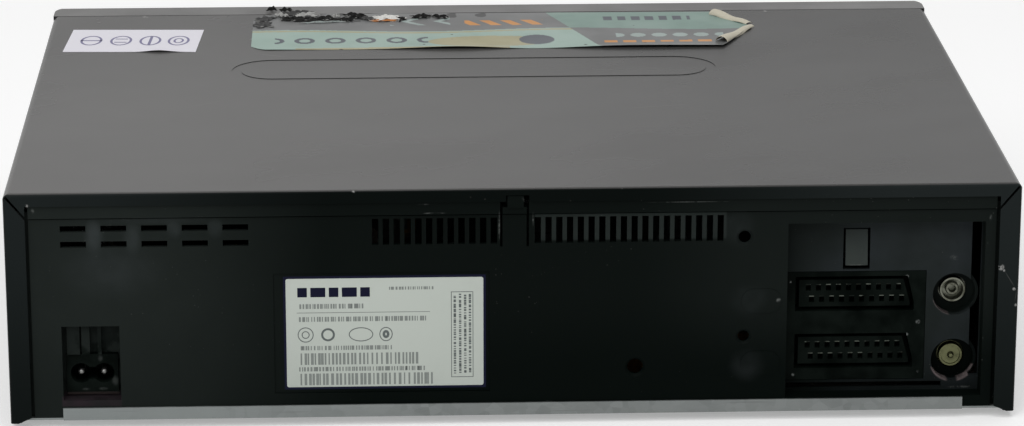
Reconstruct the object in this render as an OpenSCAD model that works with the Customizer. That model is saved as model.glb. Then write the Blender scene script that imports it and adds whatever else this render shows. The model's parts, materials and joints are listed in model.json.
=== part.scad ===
// Front-loading video cassette recorder. Front face towards -Y, sockets towards +Y.
// Origin: middle of the footprint, on the surface that the feet stand on.

/* [Casing] */
// Overall width
body_w = 380; // [372:1:435]
// Overall depth
body_d = 285; // [280:1:330]
// Overall height, feet included
body_h = 93; // [91:0.5:100]
// Height of the feet
foot_h = 3.4; // [3.4:0.1:5]
// Radius of a foot
foot_r = 11; // [8:0.5:14]
// Sheet thickness of the top cover
cover_t = 0.9; // [0.7:0.1:1.1]
// Outer radius of the cover's long bends
bend_r = 2.6; // [2:0.1:4]
// Outer radius where the cover turns down at the rear
rear_bend_r = 1.4; // [1.2:0.1:2]
// Height of the cover's lower edge above the surface
leg_z = 2.7; // [2.4:0.1:2.8]
// Width of the hem turned in along the cover's lower edges
hem_w = 3.4; // [2:0.1:5]
// Thickness of the hem
hem_t = 0.6; // [0.5:0.1:0.6]
// Width of the flanges down the rear edges
flange_w = 8; // [6:0.5:10]
// Height of the flange along the rear top edge
flange_h = 5; // [4:0.5:6]
// Width of the open mitre between two flanges
mitre_w = 0.9; // [0.5:0.1:1.2]
// Length of the oblong bead pressed in the top
bead_l = 200; // [150:5:220]
// Width of the oblong bead, across its outer edge
bead_w = 34; // [24:1:44]
// Width of the pressed line of the bead
bead_line = 4; // [3:0.5:6]
// Depth of the pressed line
bead_depth = 0.2; // [0.15:0.05:0.5]
// Distance of the bead's middle from the rear edge
bead_back = 174; // [150:1:185]
// Thickness of the bottom plate
plate_t = 0.8; // [0.6:0.1:1.2]
// Height of the bottom plate's bright strip behind
strip_h = 4.8; // [4:0.1:6]
// Distance of the strip's ends from the sides
strip_inset = 19.8; // [15:0.1:25]

/* [Front] */
// Depth of the moulded front's top strip
front_d = 16.4; // [14:0.1:20]
// Wall thickness of the moulded front
front_t = 2.5; // [2:0.1:3]
// Radius of the front's upright corners
front_corner_r = 9; // [6:0.5:12]
// Radius of the front's top edge
front_top_r = 3; // [2:0.5:4]
// Width of the seam between front and cover
seam = 0.6; // [0.4:0.1:1]
// Depth of the lip that the cover closes over
lip_d = 8; // [6:0.5:10]
// Thickness of that lip
lip_t = 1.5; // [1:0.1:2]
// Depth of the sunk band that holds keys and window
band_depth = 2; // [1.5:0.1:2.4]
// Lower edge of the sunk band
band_z0 = 12; // [11:0.5:14]
// Upper edge of the sunk band
band_z1 = 57; // [56:0.5:59]
// Distance of the band's ends from the sides
band_inset = 6; // [4:0.5:10]
// Distance of the display window from the left side
window_left = 102; // [96:1:110]
// Distance of the display window from the right side
window_right = 128; // [124:1:140]
// Lower edge of the display window
window_z0 = 20; // [18:1:24]
// Upper edge of the display window
window_z1 = 50; // [44:1:52]
// Thickness of the window pane
pane_t = 2; // [1.5:0.1:2.4]
// Travel of a key
key_travel = 1.2; // [0.8:0.1:1.4]
// Gap around a key in its hole
key_gap = 0.3; // [0.2:0.05:0.4]
// Distance of the key board behind the front face
key_board_y = 13; // [12.5:0.1:13.5]
// Height of a key switch
switch_h = 4; // [3.5:0.1:4.3]
// Side of a key switch
switch_w = 6; // [5:0.5:7]
// Radius of the standby key
standby_r = 6.5; // [5:0.5:7]

/* [Rear panel] */
// How far the panel's face lies in from the cover's rear edge
panel_in = 2; // [1.8:0.1:3]
// Wall thickness of the panel
panel_t = 2; // [1.6:0.1:2.4]
// Gap between the panel's ends and the flanges
panel_gap = 1.1; // [0.8:0.1:1.6]
// Height of the raised rim along the panel's top
rim_h = 5.1; // [4:0.1:6]
// Height of a level air slot
slot_h = 2.4; // [1.6:0.1:2.8]
// Length of a level air slot
slot_l = 9.6; // [8:0.1:11]
// Spacing of the level air slots
slot_pitch = 15.1; // [13:0.1:15.5]
// Number of level air slots in a row
slot_n = 5; // [3:1:6]
// Width of an upright air slot
grille_slot = 2.4; // [1.6:0.1:2.6]
// Spacing of the upright air slots
grille_pitch = 4.03; // [3.8:0.01:4.2]
// Height of an upright air slot
grille_h = 10.2; // [8:0.1:11]
// Number of upright slots on the mains side of the latch
grille_n1 = 12; // [8:1:13]
// Number of upright slots on the socket side of the latch
grille_n2 = 18; // [12:1:18]
// Width of the latch tongue
tongue_w = 9; // [8:0.1:9.6]
// Width of the slit beside the tongue
tongue_slit = 0.9; // [0.6:0.1:1.1]
// Length of the tongue
tongue_l = 15.6; // [13:0.1:17]
// Width of the rating label
label_w = 74.1; // [60:0.1:76]
// Height of the rating label
label_h = 42.9; // [36:0.1:44]
// Width of the stock label on the cover
stock_w = 56; // [40:1:60]
// Length of the stock label
stock_l = 38; // [30:1:44]
// Distance of the stock label from the side
stock_side = 10; // [6:1:20]
// Distance of the stock label from the front
stock_front = 41.5; // [30:0.5:60]
// Thickness of the labels
label_t = 0.15; // [0.1:0.05:0.3]
// Depth of the label's recess
label_sink = 0.5; // [0.3:0.1:0.8]

/* [Sockets] */
// Depth of the socket bay
bay_depth = 8; // [7:0.1:9]
// Width of the socket bay
bay_w = 74.4; // [73:0.1:76]
// Height of the socket bay
bay_h = 69; // [66:0.5:70]
// Distance of the bay's inner end from the panel's socket end
bay_from_end = 78.2; // [77.4:0.1:79]
// Width of the double socket block
block_w = 53.5; // [53:0.1:55]
// Height of the double socket block
block_h = 43; // [43:0.1:45]
// Depth of the double socket block
block_d = 17; // [15:0.5:20]
// Width of one socket's opening
socket_w = 45.2; // [44:0.1:46]
// Height of one socket's opening
socket_h = 13.7; // [13:0.1:14.5]
// Depth of a socket
socket_depth = 9; // [7:0.5:10]
// Spacing of the contacts in a row
contact_pitch = 3.81; // [3.7:0.01:3.9]
// Number of contacts in a row
contact_n = 10; // [8:1:10]
// Radius of an aerial socket's shell
aerial_r = 5; // [4.6:0.1:5.2]
// Radius of the wells round the aerial sockets
well_r = 8.3; // [8:0.1:8.5]
// Width of the snap tab over the picture sockets
tab_w = 8.4; // [7:0.1:9]
// Spacing of the two aerial sockets
aerial_pitch = 26.2; // [24:0.1:28]
// Width of the mains recess
inlet_recess_w = 21.7; // [21:0.1:23]
// Height of the mains recess
inlet_recess_h = 29.4; // [28:0.1:31]
// Depth of the mains recess
inlet_recess_d = 6; // [5:0.1:7]
// Radius of each lobe of the mains inlet
inlet_lobe_r = 3.9; // [3.6:0.1:4]
// Spacing of the two mains pins
inlet_pin_pitch = 8.6; // [8.4:0.1:8.8]
// Radius of a mains pin
inlet_pin_r = 1.2; // [1:0.05:1.3]

/* [Cassette path] */
// Width of a cassette
cassette_w = 187; // [186:0.5:188]
// Thickness of a cassette
cassette_h = 25; // [24:0.5:25.5]
// How far the carriage draws a cassette in
load_travel = 65; // [60:1:68]
// How far the holder then drops
drop_travel = 18; // [16:0.5:19]
// Length of the cassette holder
holder_l = 44; // [40:1:48]
// Sheet thickness of the holder and the carriage
tray_t = 0.8; // [0.6:0.1:1]
// Sheet thickness of the cage
cage_t = 1.1; // [0.8:0.1:1.2]
// Gap between sliding sheets
slide_gap = 0.3; // [0.25:0.05:0.4]
// Room behind the front face for the swinging door
door_room = 33.5; // [33:0.5:36]
// Thickness of the cassette door
door_t = 2.5; // [2:0.1:2.6]

/* [Deck] */
// Middle of the tape deck, measured across the body
deck_x = -12; // [-16:1:-8]
// Thickness of the deck plate
deck_t = 1.2; // [1:0.1:1.6]
// Half the width of the deck plate
deck_half = 105; // [104:0.5:108]
// Height of a loaded cassette above the deck plate
cassette_rise = 6.8; // [6.5:0.1:7.5]
// Distance of the reels from a cassette's leading edge
reel_back = 54; // [53:0.5:55]
// Spacing of the two reels
reel_pitch = 92.4; // [92:0.1:93]
// Radius of a reel table's flange
reel_r = 20; // [18:0.5:20.5]
// Distance of the head drum behind a cassette's leading edge
drum_back = 49; // [48:0.5:52]
// Radius of the head drum
drum_r = 31; // [30:0.1:31]
// Lean of the head drum
drum_tilt = 5.97; // [5:0.01:6.5]
// Height of the fixed lower drum
lower_drum_h = 15; // [13:0.5:16]
// Height of the spinning upper drum
upper_drum_h = 12; // [10:0.5:13]
// Radius of the capstan
capstan_r = 1.5; // [1:0.1:2]
// Radius of the capstan's flywheel
flywheel_r = 24; // [20:0.5:26]
// Radius of the pinch roller
pinch_r = 7; // [6:0.1:7.5]
// Length of the pinch arm
pinch_arm_l = 22; // [20:0.5:23]
// Swing of the pinch arm
pinch_swing = 25; // [15:1:28]
// Radius of the clutch pulley
clutch_r = 10; // [8:0.5:10.5]
// Radius of the idler wheel
idler_r = 20; // [18:0.5:20.5]
// Radius of the cam gear
cam_r = 15; // [13:0.5:16]
// Number of teeth on the cam gear
cam_teeth = 36; // [30:1:44]
// Radius of the loading motor's pinion
pinion_r = 5; // [4:0.5:6]
// Number of teeth on the pinion
pinion_teeth = 12; // [10:1:14]
// Radius of the loading motor
motor_r = 9; // [7:0.5:10]
// Gap between the loading motor and the board under it
motor_gap = 5.3; // [3:0.1:7]
// Gap between parts that roll on each other
roll_gap = 0.3; // [0.2:0.05:0.4]
// Radial clearance of a shaft in its bore
shaft_fit = 0.05; // [0.02:0.01:0.08]

/* [Circuit boards] */
// Height of the boards above the bottom plate
board_gap = 7.1; // [6:0.1:8]
// Thickness of the boards
board_t = 1.6; // [1.2:0.1:2]
// Side of the mains transformer
transformer_w = 30; // [26:1:34]
// Height of the mains transformer
transformer_h = 28; // [24:1:34]

/* [Hidden] */
$fn = 48;

eps = 0.01;
over = 1;
rear_y = body_d / 2;
front_y = -body_d / 2;
half_w = body_w / 2;

// Heights of the casing, from the bottom up
floor_z = foot_h + plate_t;
board_z = floor_z + board_gap;
board_top = board_z + board_t;

// Heights of the tape path, from the cover down
cover_in_z = body_h - cover_t;
cage_z1 = cover_in_z - 1.1;
carriage_z1 = cage_z1 - cage_t - slide_gap;
holder_z1 = carriage_z1 - tray_t - slide_gap;
cassette_z1 = holder_z1 - tray_t - 0.5;
cassette_z0 = cassette_z1 - cassette_h;
ledge_z1 = cassette_z0 - 0.2;
ledge_z0 = ledge_z1 - tray_t;
deck_top = cassette_z0 - drop_travel - cassette_rise;
deck_z = deck_top - deck_t;

// Places along the depth
cover_front_y = front_y + front_d + seam;
lip_y = front_y + front_d + lip_d;
holder_y0 = front_y + door_room;
holder_y1 = holder_y0 + holder_l;
load_y = holder_y1 + load_travel;
deck_y0 = holder_y0 - 4;

// Widths of the tape path, outwards from the cassette
holder_in = cassette_w / 2 + 0.5;
holder_out = holder_in + tray_t;
carriage_in = holder_out + slide_gap;
carriage_out = carriage_in + tray_t;
cage_in = carriage_out + slide_gap;
cage_out = cage_in + cage_t;
ledge_in = 75;
slide_pin_r = 1.4;
carriage_pin_y = [holder_y0 + 8, holder_y1 - 8];
carriage_pin_z = carriage_z1 - 9.6;
holder_pin_y = [holder_y0 + 16, holder_y1 - 16];
holder_pin_z = holder_z1 - 4;

// Rear panel
open_half = half_w - flange_w;
panel_half = open_half - panel_gap;
skirt_half = half_w - cover_t - 2.6;
skirt_lap = 5;
panel_y = rear_y - panel_in;
panel_back = panel_y - panel_t;
rim_y = rear_y - 1.2;
rim_z1 = body_h - flange_h;
rim_z0 = rim_z1 - rim_h;
groove_h = 0.5;
groove_d = 0.8;
slot_x0 = panel_half - 11.6;
slot_z = [body_h - 14.4, body_h - 20.5];
grille_z1 = body_h - 11.7;
grille_x1 = tongue_w / 2 + 3.2;
grille_x2 = -tongue_w / 2 - 4.2;
tongue_z1 = rim_z1 - 2.5;
tongue_z0 = tongue_z1 - tongue_l;
hook_x = [-3.4, 2.7];
hook_top = body_h - 2.9;
notch_x = [-5.6, 3.2];
notch_z = body_h - 2.6;
label_x0 = 11.7;
label_z0 = floor_z + 10.9;
label_frame = 2.3;
oval_w = 15;
oval_h = 9.5;
oval_z = [47.3, 22.6];

// Socket bay
bay_x1 = -panel_half + bay_from_end;
bay_x0 = bay_x1 - bay_w;
bay_z0 = board_top - 4.3;
bay_z1 = bay_z0 + bay_h;
bay_y = panel_y - bay_depth;
oval_x = bay_x1 + 9.7;
screw_holes = [[bay_x1 + 16.3, 72.4, 2.3], [bay_x1 + 16.2, 33.2, 2.1], [-45.6, 21.6, 2.9]];
tub_t = 2;
// The deck ends midway between its loading motor and the socket block
deck_y1 = (load_y + 84.5 + bay_y - block_d) / 2;
block_x1 = bay_x1;
block_x0 = block_x1 - block_w;
block_z1 = board_top + block_h;
socket_x1 = block_x1 - 4;
socket_x0 = socket_x1 - socket_w;
socket_slant = 2.6;
socket_z = [board_top + 27.4, board_top + 4.6];
rib_gap = 1.5;
contact_x0 = socket_x0 + 4.6;
contact_row = 4.6;
cell_w = 1.9;
cell_h = 2.6;
cell_d = 4;
blade_t = 0.5;
aerial_x = -panel_half + 13.6;
aerial_z = [board_top + 7.4 + aerial_pitch, board_top + 7.4];
aerial_tip_y = bay_y - 5.5;
can_x0 = aerial_x - 5.6;
can_x1 = aerial_x + 8.4;
can_y0 = bay_y - 70;
can_y1 = bay_y - 10;
can_z1 = board_top + 43;
well_t = 1.1;
tab_x1 = bay_x1 - 22.7;
tab_x0 = tab_x1 - tab_w;
tab_z0 = block_z1 + 2.6;
tab_z1 = bay_z1 - 5.3;
tab_gap = 0.9;
deep_slot_w = 3.8;

// Mains inlet
inlet_x = panel_half - 21.8;
inlet_z = board_top + 7.5;
recess_z0 = board_top - 1.9;
recess_z1 = recess_z0 + inlet_recess_h;
recess_x0 = inlet_x - inlet_recess_w / 2;
recess_x1 = inlet_x + inlet_recess_w / 2;
recess_y = panel_y - inlet_recess_d;
inlet_w = 19.4;
inlet_h = 15;
inlet_y1 = recess_y + 1.5;
inlet_y0 = inlet_y1 - 24;
inlet_cavity = 12;
inlet_fit = 0.15;

// Door of the cassette slot
door_half = cage_out;
door_axis_y = front_y + front_t + 2.4;
door_axis_z = cassette_z1;
door_z1 = door_axis_z + 1.5;
door_z0 = cassette_z0 - 0.5;
door_gap = 0.3;
pin_r = 1.2;
ear_w = 3;

// Keys: [x, z, width, height]
key_row_z = 40;
window_x0 = -half_w + window_left;
window_x1 = half_w - window_right;
standby_x = -half_w + 24;
channel_keys = [[-half_w + 62, key_row_z, 16, 8], [-half_w + 84, key_row_z, 16, 8]];
transport_keys = [[half_w - 106, key_row_z + 4, 16, 9], [half_w - 84, key_row_z + 4, 22, 9],
    [half_w - 62, key_row_z + 4, 16, 9], [half_w - 38, key_row_z + 4, 12, 9]];
eject_key_at = [half_w - 84, key_row_z - 13, 40, 9];
band_y = front_y + band_depth;
band_back = band_y + front_t;
key_face_y = front_y + 0.4;
key_flange = 1;
key_stem = 3;
switch_y = front_y + key_board_y - switch_h;

// Tape deck
reel_y = load_y - reel_back;
reel_z0 = deck_top + 2;
reel_flange_t = 2.5;
reel_hub_r = 11;
spindle_r = 8.2;
spindle_top = deck_top + 17;
post_r = 2;
drum_y = load_y + drum_back;
rotor_r = 20;
drum_shaft_r = 3;
capstan_at = [deck_x + 52, load_y + 12];
bush_r = 5;
bush_h = 8;
capstan_top = deck_top + 29;
belt_z = deck_z - 5;
belt_h = 3;
belt_t = 1;
capstan_pulley_r = 8;
clutch_pulley_r = 12;
flywheel_t = 6;
clutch_at = [deck_x, load_y - 20];
wheel_z0 = deck_top + 2.3;
wheel_t = 2;
idler_l = clutch_r + idler_r + roll_gap;
arm_z0 = deck_top + 0.6;
arm_t = 1;
pinch_pivot = [deck_x + 72, load_y + 22];
pinch_arm_z = deck_top + 9;
pinch_roller_h = 12;
// Direction from pivot to capstan, and the angle that brings the roller up to it
pinch_far = norm(pinch_pivot - capstan_at);
pinch_dir = atan2(capstan_at[1] - pinch_pivot[1], capstan_at[0] - pinch_pivot[0]);
pinch_reach = pinch_r + capstan_r + roll_gap;
pinch_open = acos((pinch_arm_l ^ 2 + pinch_far ^ 2 - pinch_reach ^ 2)
    / (2 * pinch_arm_l * pinch_far));
pinch_rest = pinch_dir + pinch_open + pinch_swing;
cam_at = [deck_x + 78, load_y + 55];
cam_z0 = deck_top + 8;
cam_t = 4;
pinion_at = cam_at + [0, cam_r + pinion_r + roll_gap];
motor_h = deck_z - board_top - motor_gap;
guide_start = [26, -8];
guide_end = [42, 60];
guide_w = 5.6;
guide_slot = 6;
guide_tenon = 2.5;
tension_pivot = [deck_x - 72, load_y + 16];
tension_reach = [14, -20];
brake_slide = 3;
brake_w = 6.5;
brake_pin_r = 1.4;
brake_y = reel_y - reel_r - roll_gap - brake_w;

// Boards and frame
board_x0 = -half_w + 13;
board_x1 = deck_x + deck_half + 3;
power_x0 = board_x1 + 4;
power_x1 = half_w - 9;
board_y0 = front_y + 26;
board_y1 = bay_y - tub_t - 0.5;
power_y1 = recess_y - tub_t - 0.5;
power_y0 = rear_y - 205;
rail_in = half_w - cover_t - 5.6;
rail_out = half_w - cover_t - 2.6;
rail_h = 26;
deck_posts = [for (x = [-1, 1], y = [deck_y0 + 7, deck_y1 - 7])
    [deck_x + x * (deck_half - 5), y]];
cross_rails = [deck_y0 + 7, (deck_y0 + deck_y1) / 2, deck_y1 - 7];
board_posts = [for (x = [board_x0 + 8, deck_x - 40, deck_x + 50, power_x0 + 8, power_x1 - 8],
    y = [cross_rails[1], cross_rails[2]]) [x, y]];
post_w = 8;
standoff_w = 6;
side_screws = [front_y + 60, rear_y - 60];
screw_z = floor_z + 12;

// A block between two corners
module block(x0, x1, y0, y1, z0, z1) {
    translate([x0, y0, z0]) cube([x1 - x0, y1 - y0, z1 - z0]);
}

// Carries an outline in X and Z along the depth
module along_y(y0, y1) {
    translate([0, y1, 0]) rotate([90, 0, 0]) linear_extrude(y1 - y0) children();
}

// Carries an outline in Y and Z across the width
module along_x(x0, x1) {
    translate([x0, 0, 0]) rotate([90, 0, 90]) linear_extrude(x1 - x0) children();
}

// A round bar along the depth
module bar_y(x, z, r, y0, y1) {
    translate([x, y1, z]) rotate([90, 0, 0]) cylinder(r = r, h = y1 - y0);
}

// A round bar across the width
module bar_x(y, z, r, x0, x1) {
    translate([x0, y, z]) rotate([0, 90, 0]) cylinder(r = r, h = x1 - x0);
}

// A round bar upright
module bar_z(at, r, z0, z1) {
    translate([at[0], at[1], z0]) cylinder(r = r, h = z1 - z0);
}

// A rectangle with chosen corners round: [low x low y, high x low y, low x high y, high x high y]
module rounded(x0, x1, y0, y1, r, corners) {
    difference() {
        translate([x0, y0]) square([x1 - x0, y1 - y0]);
        for (i = [0:3]) if (corners[i] == 1) {
            cx = i % 2 == 0 ? x0 : x1;
            cy = i < 2 ? y0 : y1;
            sx = i % 2 == 0 ? 1 : -1;
            sy = i < 2 ? 1 : -1;
            difference() {
                translate([cx - (sx > 0 ? over : r), cy - (sy > 0 ? over : r)])
                    square([r + over, r + over]);
                translate([cx + sx * r, cy + sy * r]) circle(r);
            }
        }
    }
}

// An oblong with round ends, level
module oblong(l, w) {
    square([l - w, w], center = true);
    for (s = [-1, 1]) translate([s * (l - w) / 2, 0]) circle(w / 2);
}

// A bar with round ends between two points
module link(a, b, w, z0, z1) {
    d = b - a;
    translate([a[0], a[1], z0]) rotate([0, 0, atan2(d[1], d[0])])
        linear_extrude(z1 - z0) union() {
            translate([0, -w / 2]) square([norm(d), w]);
            circle(w / 2);
            translate([norm(d), 0]) circle(w / 2);
        }
}

// The cover's outer or inner skin: rounded along its bends and at the rear
module cover_skin(inset, y0, z0) {
    w = half_w - inset;
    r = bend_r - inset;
    rr = rear_bend_r - inset;
    intersection() {
        along_y(y0, rear_y - inset) rounded(-w, w, z0, body_h - inset, r, [0, 0, 1, 1]);
        along_x(-w, w) rounded(y0, rear_y - inset, z0, body_h - inset, rr, [0, 0, 0, 1]);
        translate([0, 0, z0]) linear_extrude(body_h)
            rounded(-w, w, y0, rear_y - inset, rr, [0, 0, 1, 1]);
    }
}

// The open mitre from a rear top corner to the corner of the panel
module mitre(s) {
    dx = flange_w;
    dz = flange_h + rim_h * 0.9;
    start = 1.6;
    translate([s * half_w, rear_y - cover_t - over, body_h])
        rotate([0, s > 0 ? 180 - atan2(dz, dx) : atan2(dz, dx), 0])
            translate([start, 0, -mitre_w / 2])
                cube([norm([dx, dz]) - start + 2, cover_t + 2 * over, mitre_w]);
}

module top_cover() {
    color("dimgray") {
        difference() {
            cover_skin(0, cover_front_y, leg_z);
            cover_skin(cover_t, cover_front_y - over, leg_z - over);
            block(-open_half, open_half, rear_y - cover_t - over, rear_y + over, 0, rim_z1);
            block(notch_x[0], notch_x[1], rear_y - cover_t - over, rear_y + over,
                rim_z1 - over, notch_z);
            for (s = [-1, 1]) mitre(s);
            translate([10, rear_y - bead_back, body_h - bead_depth])
                linear_extrude(over) difference() {
                    oblong(bead_l, bead_w);
                    oblong(bead_l - 2 * bead_line, bead_w - 2 * bead_line);
                }
            // the legs' lower inner corners
            for (s = [-1, 1]) along_y(rear_y - cover_t - over, rear_y + over)
                polygon([[s * (open_half - over), leg_z - over], [s * (half_w - 3), leg_z - over],
                    [s * (half_w - 3), leg_z], [s * open_half, leg_z + 2.2],
                    [s * (open_half - over), leg_z + 2.2]]);
            for (s = [-1, 1], y = side_screws)
                bar_x(y, screw_z, 3.6, s > 0 ? half_w - cover_t - over : -half_w - over,
                    s > 0 ? half_w + over : -half_w + cover_t + over);
        }
        for (s = [-1, 1])
            block(s > 0 ? half_w - cover_t - hem_w : -half_w + cover_t - eps,
                s > 0 ? half_w - cover_t + eps : -half_w + cover_t + hem_w,
                cover_front_y, rear_y - cover_t, leg_z, leg_z + hem_t);
    }
}

module bottom_plate() {
    color("silver") difference() {
        union() {
            block(-rail_out, rail_out, lip_y - lip_d, panel_y, foot_h, floor_z);
            block(-half_w + strip_inset, half_w - strip_inset, panel_y - over,
                panel_y + plate_t, foot_h, floor_z);
            block(-half_w + strip_inset, half_w - strip_inset, panel_y,
                panel_y + plate_t, foot_h, foot_h + strip_h);
        }
        for (x = [-150:12:-60], y = [cross_rails[1] + 14, cross_rails[1] + 50])
            block(x, x + 4, y, y + 26, foot_h - over, floor_z + over);
        for (x = [110:12:160]) block(x, x + 4, cross_rails[1] + 14, cross_rails[1] + 76,
            foot_h - over, floor_z + over);
        for (p = floor_screws()) bar_z(p, 1.7, foot_h - over, floor_z + over);
    }
}

// Where the bottom plate is screwed up into the frame
function floor_screws() = [for (x = [-1, 1], y = cross_rails) [x * (half_w - 70), y]];

module feet() {
    color("black") for (x = [-1, 1], y = [-1, 1])
        translate([x * (half_w - 42), y * (body_d / 2 - 32), 0])
            rotate_extrude() polygon([[0, 0], [foot_r - 1, 0], [foot_r, 1],
                [foot_r, foot_h], [0, foot_h]]);
}

// The front's outer form, drawn in by an inset
module front_form(inset, y1) {
    r = front_corner_r - inset;
    intersection() {
        translate([0, 0, foot_h + inset]) linear_extrude(body_h - foot_h - 2 * inset)
            rounded(-half_w + inset, half_w - inset, front_y + inset, y1, r, [1, 1, 0, 0]);
        along_x(-half_w, half_w) rounded(front_y + inset, y1 + over, foot_h + inset,
            body_h - inset, max(front_top_r - inset, 0.5), [1, 0, 1, 0]);
    }
}

// Shape of a key in the wall: a rectangle, or round for the standby key
module key_hole(k, grow) {
    translate([k[0], k[1]]) square([k[2] + 2 * grow, k[3] + 2 * grow], center = true);
}

module front_panel() {
    color("black") difference() {
        union() {
            difference() {
                front_form(0, front_y + front_d);
                front_form(front_t, front_y + front_d + over);
            }
            // wall behind the sunk band
            block(-half_w + band_inset - front_t, half_w - band_inset + front_t,
                front_y + front_t - eps, band_back, band_z0 - front_t, band_z1 + front_t);
            // lip under the cover's front edge
            difference() {
                along_y(front_y + front_d - front_t, lip_y)
                    rounded(-half_w + cover_t + 0.2, half_w - cover_t - 0.2, floor_z,
                        cover_in_z - 0.2, bend_r - cover_t, [0, 0, 1, 1]);
                along_y(front_y + front_d - front_t - over, lip_y + over)
                    rounded(-half_w + cover_t + 0.2 + lip_t, half_w - cover_t - 0.2 - lip_t,
                        floor_z + lip_t, cover_in_z - 0.2 - lip_t, 0.5, [0, 0, 0, 0]);
            }
            // ears that carry the door's pins
            for (s = [-1, 1]) {
                x = deck_x + s * (door_half + door_gap + ear_w / 2);
                block(x - ear_w / 2, x + ear_w / 2, front_y + front_t - eps,
                    door_axis_y + 3.4, door_axis_z - 3.4, door_axis_z + 3.4);
            }
            // pillars that carry the key board
            for (x = [-1, 1], z = [board_top + 5, band_z1 - 5])
                block(x * (half_w - 18) - 2.5, x * (half_w - 18) + 2.5, band_back - eps,
                    front_y + key_board_y, z - 2.5, z + 2.5);
        }
        // sunk band
        block(-half_w + band_inset, half_w - band_inset, front_y - over, band_y,
            band_z0, band_z1);
        // cassette slot
        block(deck_x - door_half - door_gap, deck_x + door_half + door_gap,
            front_y - over, front_y + front_t + over, door_z0 - 2 * door_gap,
            door_z1 + door_gap);
        // window
        block(window_x0, window_x1, band_y - over, band_back + over, window_z0, window_z1);
        // key holes
        along_y(band_y - over, band_back + over) {
            for (k = concat(channel_keys, transport_keys, [eject_key_at]))
                key_hole(k, key_gap);
            translate([standby_x, key_row_z]) circle(standby_r + key_gap);
        }
        // bores for the door's pins
        bar_x(door_axis_y, door_axis_z, pin_r + shaft_fit,
            deck_x - door_half - door_gap - ear_w - over,
            deck_x + door_half + door_gap + ear_w + over);
    }
}

module display_window() {
    color("darkslategray") block(window_x0, window_x1, band_back - pane_t, band_back,
        window_z0, window_z1);
}

module cassette_door() {
    color("black") {
        block(deck_x - door_half, deck_x + door_half, front_y + 0.5,
            front_y + 0.5 + door_t, door_z0, door_z1);
        block(deck_x - door_half, deck_x + door_half, front_y + 0.5 + door_t - eps,
            door_axis_y + pin_r, door_axis_z - pin_r, door_axis_z + pin_r);
        bar_x(door_axis_y, door_axis_z, pin_r, deck_x - door_half - door_gap - ear_w,
            deck_x + door_half + door_gap + ear_w + 6);
        // grip line across the door
        block(deck_x - door_half + 12, deck_x + door_half - 12, front_y, front_y + 0.5 + eps,
            door_z0 + 3, door_z0 + 4.5);
    }
}

module door_spring() {
    x0 = deck_x + door_half + door_gap + ear_w;
    color("silver") {
        difference() {
            bar_x(door_axis_y, door_axis_z, 2.2, x0, x0 + 6);
            bar_x(door_axis_y, door_axis_z, pin_r + 0.2, x0 - over, x0 + 6 + over);
        }
        block(x0 + 5.2, x0 + 6, front_y + front_t, door_axis_y - 1.8, door_axis_z - 0.4,
            door_axis_z + 0.4);
    }
}

// A key: cap in the band, a flange behind the wall and a stem towards its switch
module key(k) {
    color("dimgray") {
        along_y(key_face_y, band_back + 0.1 + eps) key_hole(k, 0);
        key_back(k);
    }
}

module key_back(k) {
    along_y(band_back + 0.1, band_back + 1.1) key_hole(k, key_flange);
    block(k[0] - key_stem / 2, k[0] + key_stem / 2, band_back + 1, switch_y - key_travel - 0.2,
        k[1] - key_stem / 2, k[1] + key_stem / 2);
}

module standby_key() {
    side = 2 * standby_r;
    color("dimgray") {
        bar_y(standby_x, key_row_z, standby_r, key_face_y, band_back + 0.1 + eps);
        key_back([standby_x, key_row_z, side, side]);
    }
}

module eject_key() { key(eject_key_at); }
module rewind_key() { key(transport_keys[0]); }
module play_key() { key(transport_keys[1]); }
module fast_forward_key() { key(transport_keys[2]); }
module record_key() { key(transport_keys[3]); }
module channel_down_key() { key(channel_keys[0]); }
module channel_up_key() { key(channel_keys[1]); }

module key_switches() {
    color("lightgray")
        for (k = concat(channel_keys, transport_keys, [eject_key_at, [standby_x, key_row_z]]))
            block(k[0] - switch_w / 2, k[0] + switch_w / 2, switch_y,
                front_y + key_board_y, k[1] - switch_w / 2, k[1] + switch_w / 2);
}

module display_board() {
    color("peru") block(-half_w + 14, half_w - 14, front_y + key_board_y,
        front_y + key_board_y + board_t, board_top + 1, band_z1 - 1);
}

module display_tube() {
    color("darkslateblue") block(window_x0 + 20, window_x1 - 20,
        front_y + key_board_y - 6, front_y + key_board_y, window_z0 + 5, window_z1 - 5);
}

// Air slots, upright and level
module air_slots() {
    for (z = slot_z, i = [0:slot_n - 1])
        block(slot_x0 - i * slot_pitch - slot_l, slot_x0 - i * slot_pitch,
            panel_back - over, panel_y + over, z - slot_h / 2, z + slot_h / 2);
    for (i = [0:grille_n1 - 1]) grille_cut(grille_x1 + i * grille_pitch);
    for (i = [0:grille_n2 - 1]) grille_cut(grille_x2 - i * grille_pitch);
}

module grille_cut(x) {
    block(x - grille_slot / 2, x + grille_slot / 2, panel_back - over, panel_y + over,
        grille_z1 - grille_h, grille_z1);
}

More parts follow.
